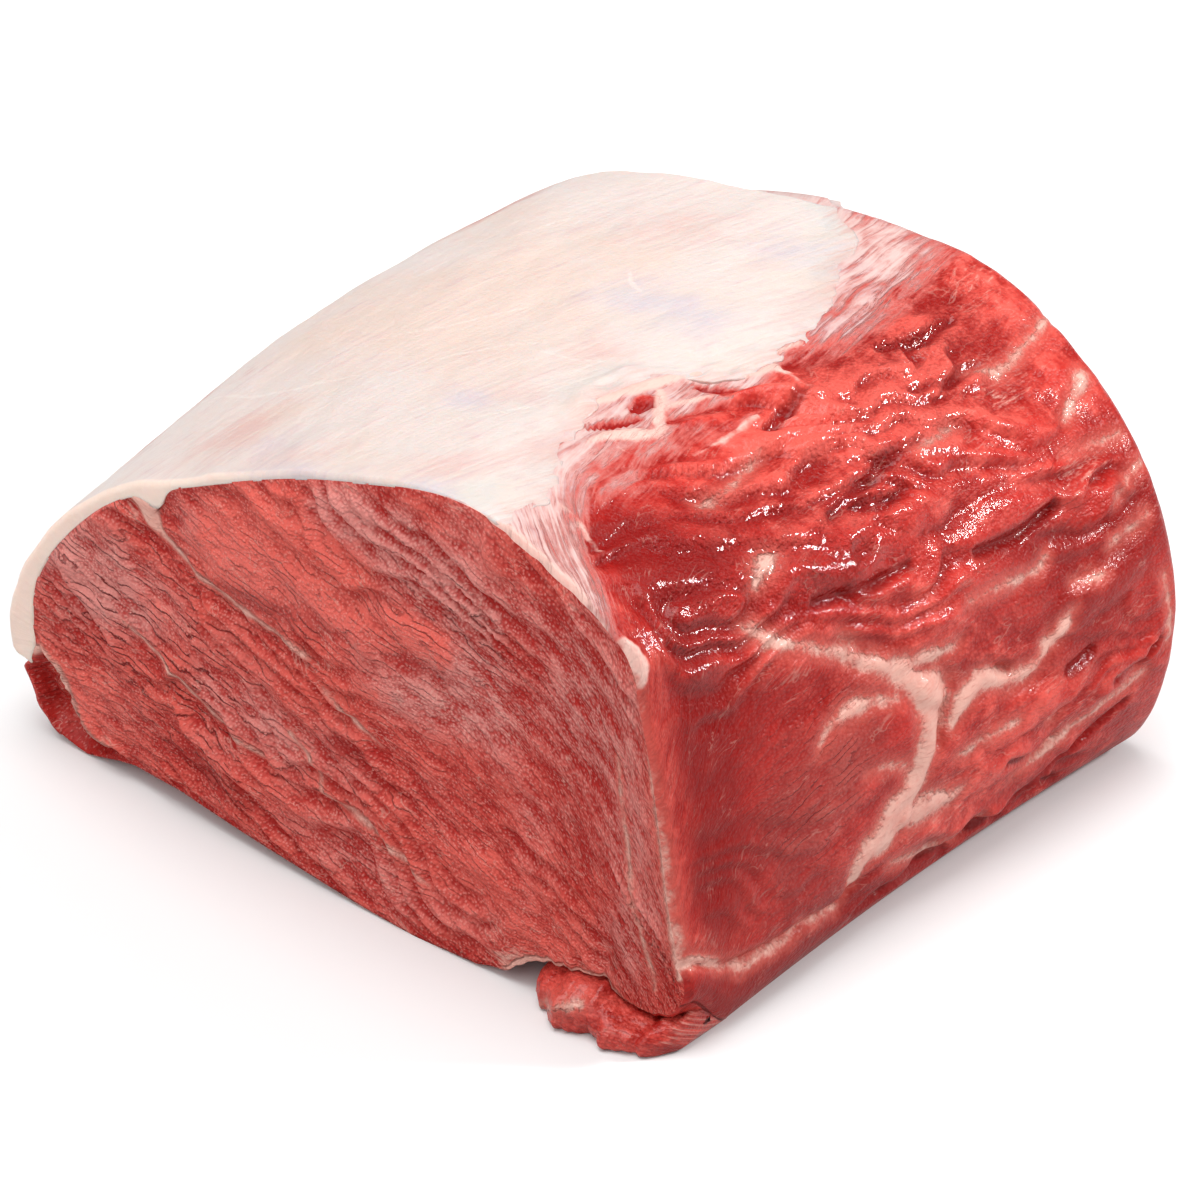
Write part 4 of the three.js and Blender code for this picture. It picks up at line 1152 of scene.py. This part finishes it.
# Thin raised strands across the cap (girth, back, half width).
FAT_STRANDS = [
    [(207, 100, 0.1), (204.6, 109, 0.35), (201.7, 118, 0.1)],
    [(180, 42, 0.05), (176, 50, 0.4), (168.7, 56, 0.35), (163, 59, 0.1)],
    [(161, 56, 0.1), (149, 56, 0.3), (144, 58, 0.1)],
    [(237, 35, 0.1), (217, 32, 0.3), (203, 33, 0.4), (190, 38, 0.1)],
    [(158, 18, 0.1), (146, 30, 0.3), (138, 40, 0.1)], [(200, 52, 0.1), (188, 60, 0.25), (178, 72, 0.1)],
    [(170, 93, 0.2), (166, 89, 0.4), (161, 86, 0.2)],
]


def fat_relief(girth, back, in_from_edge):
    """Height in mm of the cap's lumps, with a puffed rim along its right edge."""
    lumps = 0.5 * noise(61, back / 30, girth / 22) + 0.25 * noise(62, back / 11, girth / 8)
    lumps = lumps + 0.08 * noise(63, back / 4, girth / 3)
    rim = 1.4 * bell(in_from_edge - 4, 3.0) * smooth(26, 40, back) * smooth(86, 66, back)
    return (lumps - 0.35) * smooth(0, 8, in_from_edge) + rim * (0.6 + 0.8 * noise(64, back / 5, girth / 4))


def fat_values(girth, back, from_edge):
    """What the fat's material reads at each point of one layer."""
    values = {key: patches(spots, girth, back) for key, spots in FAT_PATCHES.items()}
    values |= {
        "from_edge": from_edge,
        # Painted light: the cap's front cut end is brightened, as if it were lit as strongly as the top.
        "end_painted_light": smooth(1.3, 0.3, back) * smooth(150, 215, girth),
        "strand": outside_all(FAT_STRANDS, girth, back),
    }
    flow = np.stack([back - 0.25 * girth, girth + 0.25 * back, np.zeros(girth.shape)], axis=-1)
    return {key: value.ravel() for key, value in values.items()} | {"fibres": flow.reshape(-1, 3)}


def make_fat_cap():
    """Layers between the cap's outside and its seat on the lean, of which the mesh keeps the skin: the
    first and last layer, and the edges of all of them."""
    back = rows_back(3, 8, FAT_ROWS, 5, 9)
    steps, tables = girth_tables(back)
    edge = fat_edge_girth(back)
    hem = girths_at(HEM, steps, tables) + 1.2 * noise(22, back / 6)
    share = np.linspace(0, 1, FAT_COLUMNS + 1)
    girth = mix(edge[:, None], hem[:, None], 0.75 * share + 0.25 * share**2)
    number = numbers_at(girth, steps, tables)
    there = np.broadcast_to(back[:, None], girth.shape)
    from_edge = girth - edge[:, None]
    thickness = fat_thickness(number, number[:, :1], section(back, number)[..., 0], there)
    rounding = np.minimum(edge_rounding(back, FAT_ROUND, BACK_ROUND)[:, None], thickness * 0.8)
    hem_round = 0.8 * smooth(3.0, 0, hem[:, None] - girth) * thickness
    top = fat_relief(girth, there, from_edge) - rounding - hem_round
    depths = np.arange(FAT_LAYERS + 1) / FAT_LAYERS
    points = np.stack([ring_points(back, number, mix(top, -thickness, depth)) for depth in depths])
    stack = np.arange(points[..., 0].size).reshape(points.shape[:3])
    triangles = np.concatenate([
        grid_triangles(stack[0]), grid_triangles(stack[-1], turned=True),
        grid_triangles(stack[:, 0], turned=True), grid_triangles(stack[::-1, -1], turned=True),
        grid_triangles(stack[::-1, :, 0], turned=True), grid_triangles(stack[:, :, -1], turned=True),
    ])
    used, corners = np.unique(triangles, return_inverse=True)
    at = used[corners.ravel()] % girth.size
    values = {key: value[at] for key, value in fat_values(girth, there, from_edge).items()}
    return add_mesh("fat_layer", points.reshape(-1, 3)[used], corners.reshape(-1, 3), values)


def fat_material():
    """Cream fat: soft and slightly see-through, with pink and bluish shadows of the meat under it, and
    painted light brightening its front cut end.
    """
    material = bpy.data.materials.new("fat")
    material.use_nodes = True
    nodes = material.node_tree.nodes
    place = varying(nodes, "ShaderNodeTexCoord", output="Object")
    keys = ("from_edge", "strand", "warm", "blush", "cool", "thin", "end_painted_light")
    from_edge, strand, warm, blush, cool, thin, end_painted_light = (read(nodes, key) for key in keys)
    broad = grain_noise(place, 38.0, 3.0, 0.55)
    middling = grain_noise(place, 120.0, 4.0, 0.6)
    fine = grain_noise(place, 700.0, 3.0, 0.6)
    streaks = fibre_noise(read(nodes, "fibres", "Vector"), 18, 1.6, 4.0, 0.65, 0.3)
    mottled = streaks * 0.6 + middling * 0.6
    colour = tint(spread(warm * 0.35 + broad, 0.4, 0.8), CREAM, WARM_CREAM)
    colour = tint(spread(blush * 0.4 + mottled, 0.58, 1.05, 0.0, 0.6), colour, FAT_PINK)
    colour = tint(spread(cool * 0.4 + mottled, 0.6, 1.1, 0.0, 0.75), colour, FAT_BLUE)
    near_edge = from_edge + (streaks * 22.0 - 11.0)
    colour = tint(spread(near_edge, 7.0, -4.0, 0.0, 0.7), colour, FAT_PINK)
    colour = tint(spread(thin * 0.5 + mottled, 0.7, 1.3, 0.0, 0.75), colour, MEAT_THROUGH)
    on_strand = spread(middling * 0.8 + (strand - 0.4), 0.5, -0.1)
    colour = tint(on_strand * 0.45, colour, FAT_WHITE)
    set_inputs(nodes["Principled BSDF"], {
        # Painted light: the front cut end gets a brighter colour.
        "Base Color": tint(end_painted_light * 0.8, colour, FAT_END_PAINTED_LIGHT),
        "Roughness": spread(middling, 0.3, 0.7, 0.36, 0.5),
        "Normal": bumped(middling * 0.5 + fine * 0.12 + streaks * 0.18, 0.001),
        "IOR": 1.4,
        "Subsurface Weight": 0.35,
        "Subsurface Radius": (1.0, 0.5, 0.35),
        "Subsurface Scale": 0.003,
        "Coat Weight": 0.2,
        "Coat Roughness": 0.25,
    })
    return material


fat_layer = make_fat_cap()
dress(fat_layer, fat_material(), "fat_cap")


# ---- Floor, light and camera -------------------------------------------------------------------
# A white studio table under a wide overhead diffuser, with a softer fill from the front and one
# small softbox behind the roast, whose light sparkles in the wet film.
TARGET = (24.788, -28.238, 55.0)
AZIMUTH, ELEVATION, DISTANCE = math.radians(40.494), math.radians(29.680), 967.63
FLOOR_HALF = 3.0  # metres
SEEN_WHITE, LIT_GREY = (0.82, 0.82, 0.82, 1), (0.5, 0.5, 0.5, 1)  # the floor to the eye, and to the roast
SOFTBOX_WAY, SOFTBOX_DISTANCE, SOFTBOX_SIZE, SOFTBOX_POWER = np.array((0.61, 0.58, 0.54)), 1.2, 0.15, 8
LIT_MIDDLE = np.array((0, 0, 0.05))  # metres, the middle of the block, from where the softbox is placed
ROOM_LIGHT, ROOM_IN_GLOSS = 0.48, 0.1  # how bright the white room is for the light, and in reflections


def place_light(name, kind, location, rotation, **settings):
    data = bpy.data.lights.new(name, kind)
    for key, value in settings.items():
        setattr(data, key, value)
    light = bpy.data.objects.new(name, data)
    light.location, light.rotation_euler = location, rotation
    bpy.context.scene.collection.objects.link(light)


def add_sun(name, energy, width, from_front, from_right):
    """A distant light of a given width, tipped from overhead towards the front and the right."""
    tipped = (math.radians(from_front), math.radians(from_right), 0)
    place_light(name, "SUN", (0, 0, 0), tipped, energy=energy, angle=math.radians(width))


floor_corners = [(-FLOOR_HALF, -FLOOR_HALF, 0), (FLOOR_HALF, -FLOOR_HALF, 0), (FLOOR_HALF, FLOOR_HALF, 0),
                 (-FLOOR_HALF, FLOOR_HALF, 0)]
floor_mesh = bpy.data.meshes.new("floor")
floor_mesh.from_pydata(floor_corners, [], [(0, 1, 2, 3)])
floor = bpy.data.objects.new("floor", floor_mesh)
bpy.context.scene.collection.objects.link(floor)
white = bpy.data.materials.new("white_ground")
white.use_nodes = True
seen_by_eye = varying(white.node_tree.nodes, "ShaderNodeLightPath", output="Is Camera Ray")
ground = {"Base Color": tint(seen_by_eye, LIT_GREY, SEEN_WHITE), "Roughness": 0.9}
set_inputs(white.node_tree.nodes["Principled BSDF"], ground)
floor_mesh.materials.append(white)

add_sun("overhead_diffuser", 2.2, 50, 4, -8)
add_sun("front_fill", 0.8, 50, 56, 0)
softbox_at = Vector(SOFTBOX_WAY / np.linalg.norm(SOFTBOX_WAY) * SOFTBOX_DISTANCE + LIT_MIDDLE)
place_light("back_softbox", "AREA", softbox_at, softbox_at.to_track_quat("Z", "Y").to_euler(),
            size=SOFTBOX_SIZE, energy=SOFTBOX_POWER)

world = bpy.data.worlds.new("studio")
world.use_nodes = True
air = world.node_tree.nodes
in_gloss = varying(air, "ShaderNodeLightPath", output="Is Glossy Ray")
seen_directly = varying(air, "ShaderNodeLightPath", output="Is Camera Ray")
room = spread(in_gloss, 0.0, 1.0, ROOM_LIGHT, ROOM_IN_GLOSS).math("MAXIMUM", seen_directly)
set_inputs(air["Background"], {"Strength": room, "Color": (1, 1, 1, 1)})
bpy.context.scene.world = world
bpy.context.scene.view_settings.view_transform = "Standard"

camera_data = bpy.data.cameras.new("camera")
camera_data.lens, camera_data.sensor_width = 150, 36
camera_data.clip_start, camera_data.clip_end = 0.05, 20
camera = bpy.data.objects.new("camera", camera_data)
flat = math.cos(ELEVATION)
away = np.array((math.sin(AZIMUTH) * flat, -math.cos(AZIMUTH) * flat, math.sin(ELEVATION)))
camera.location = (np.array(TARGET) + away * DISTANCE) * MM
camera.rotation_euler = (math.pi / 2 - ELEVATION, 0, AZIMUTH)
bpy.context.scene.collection.objects.link(camera)
bpy.context.scene.camera = camera
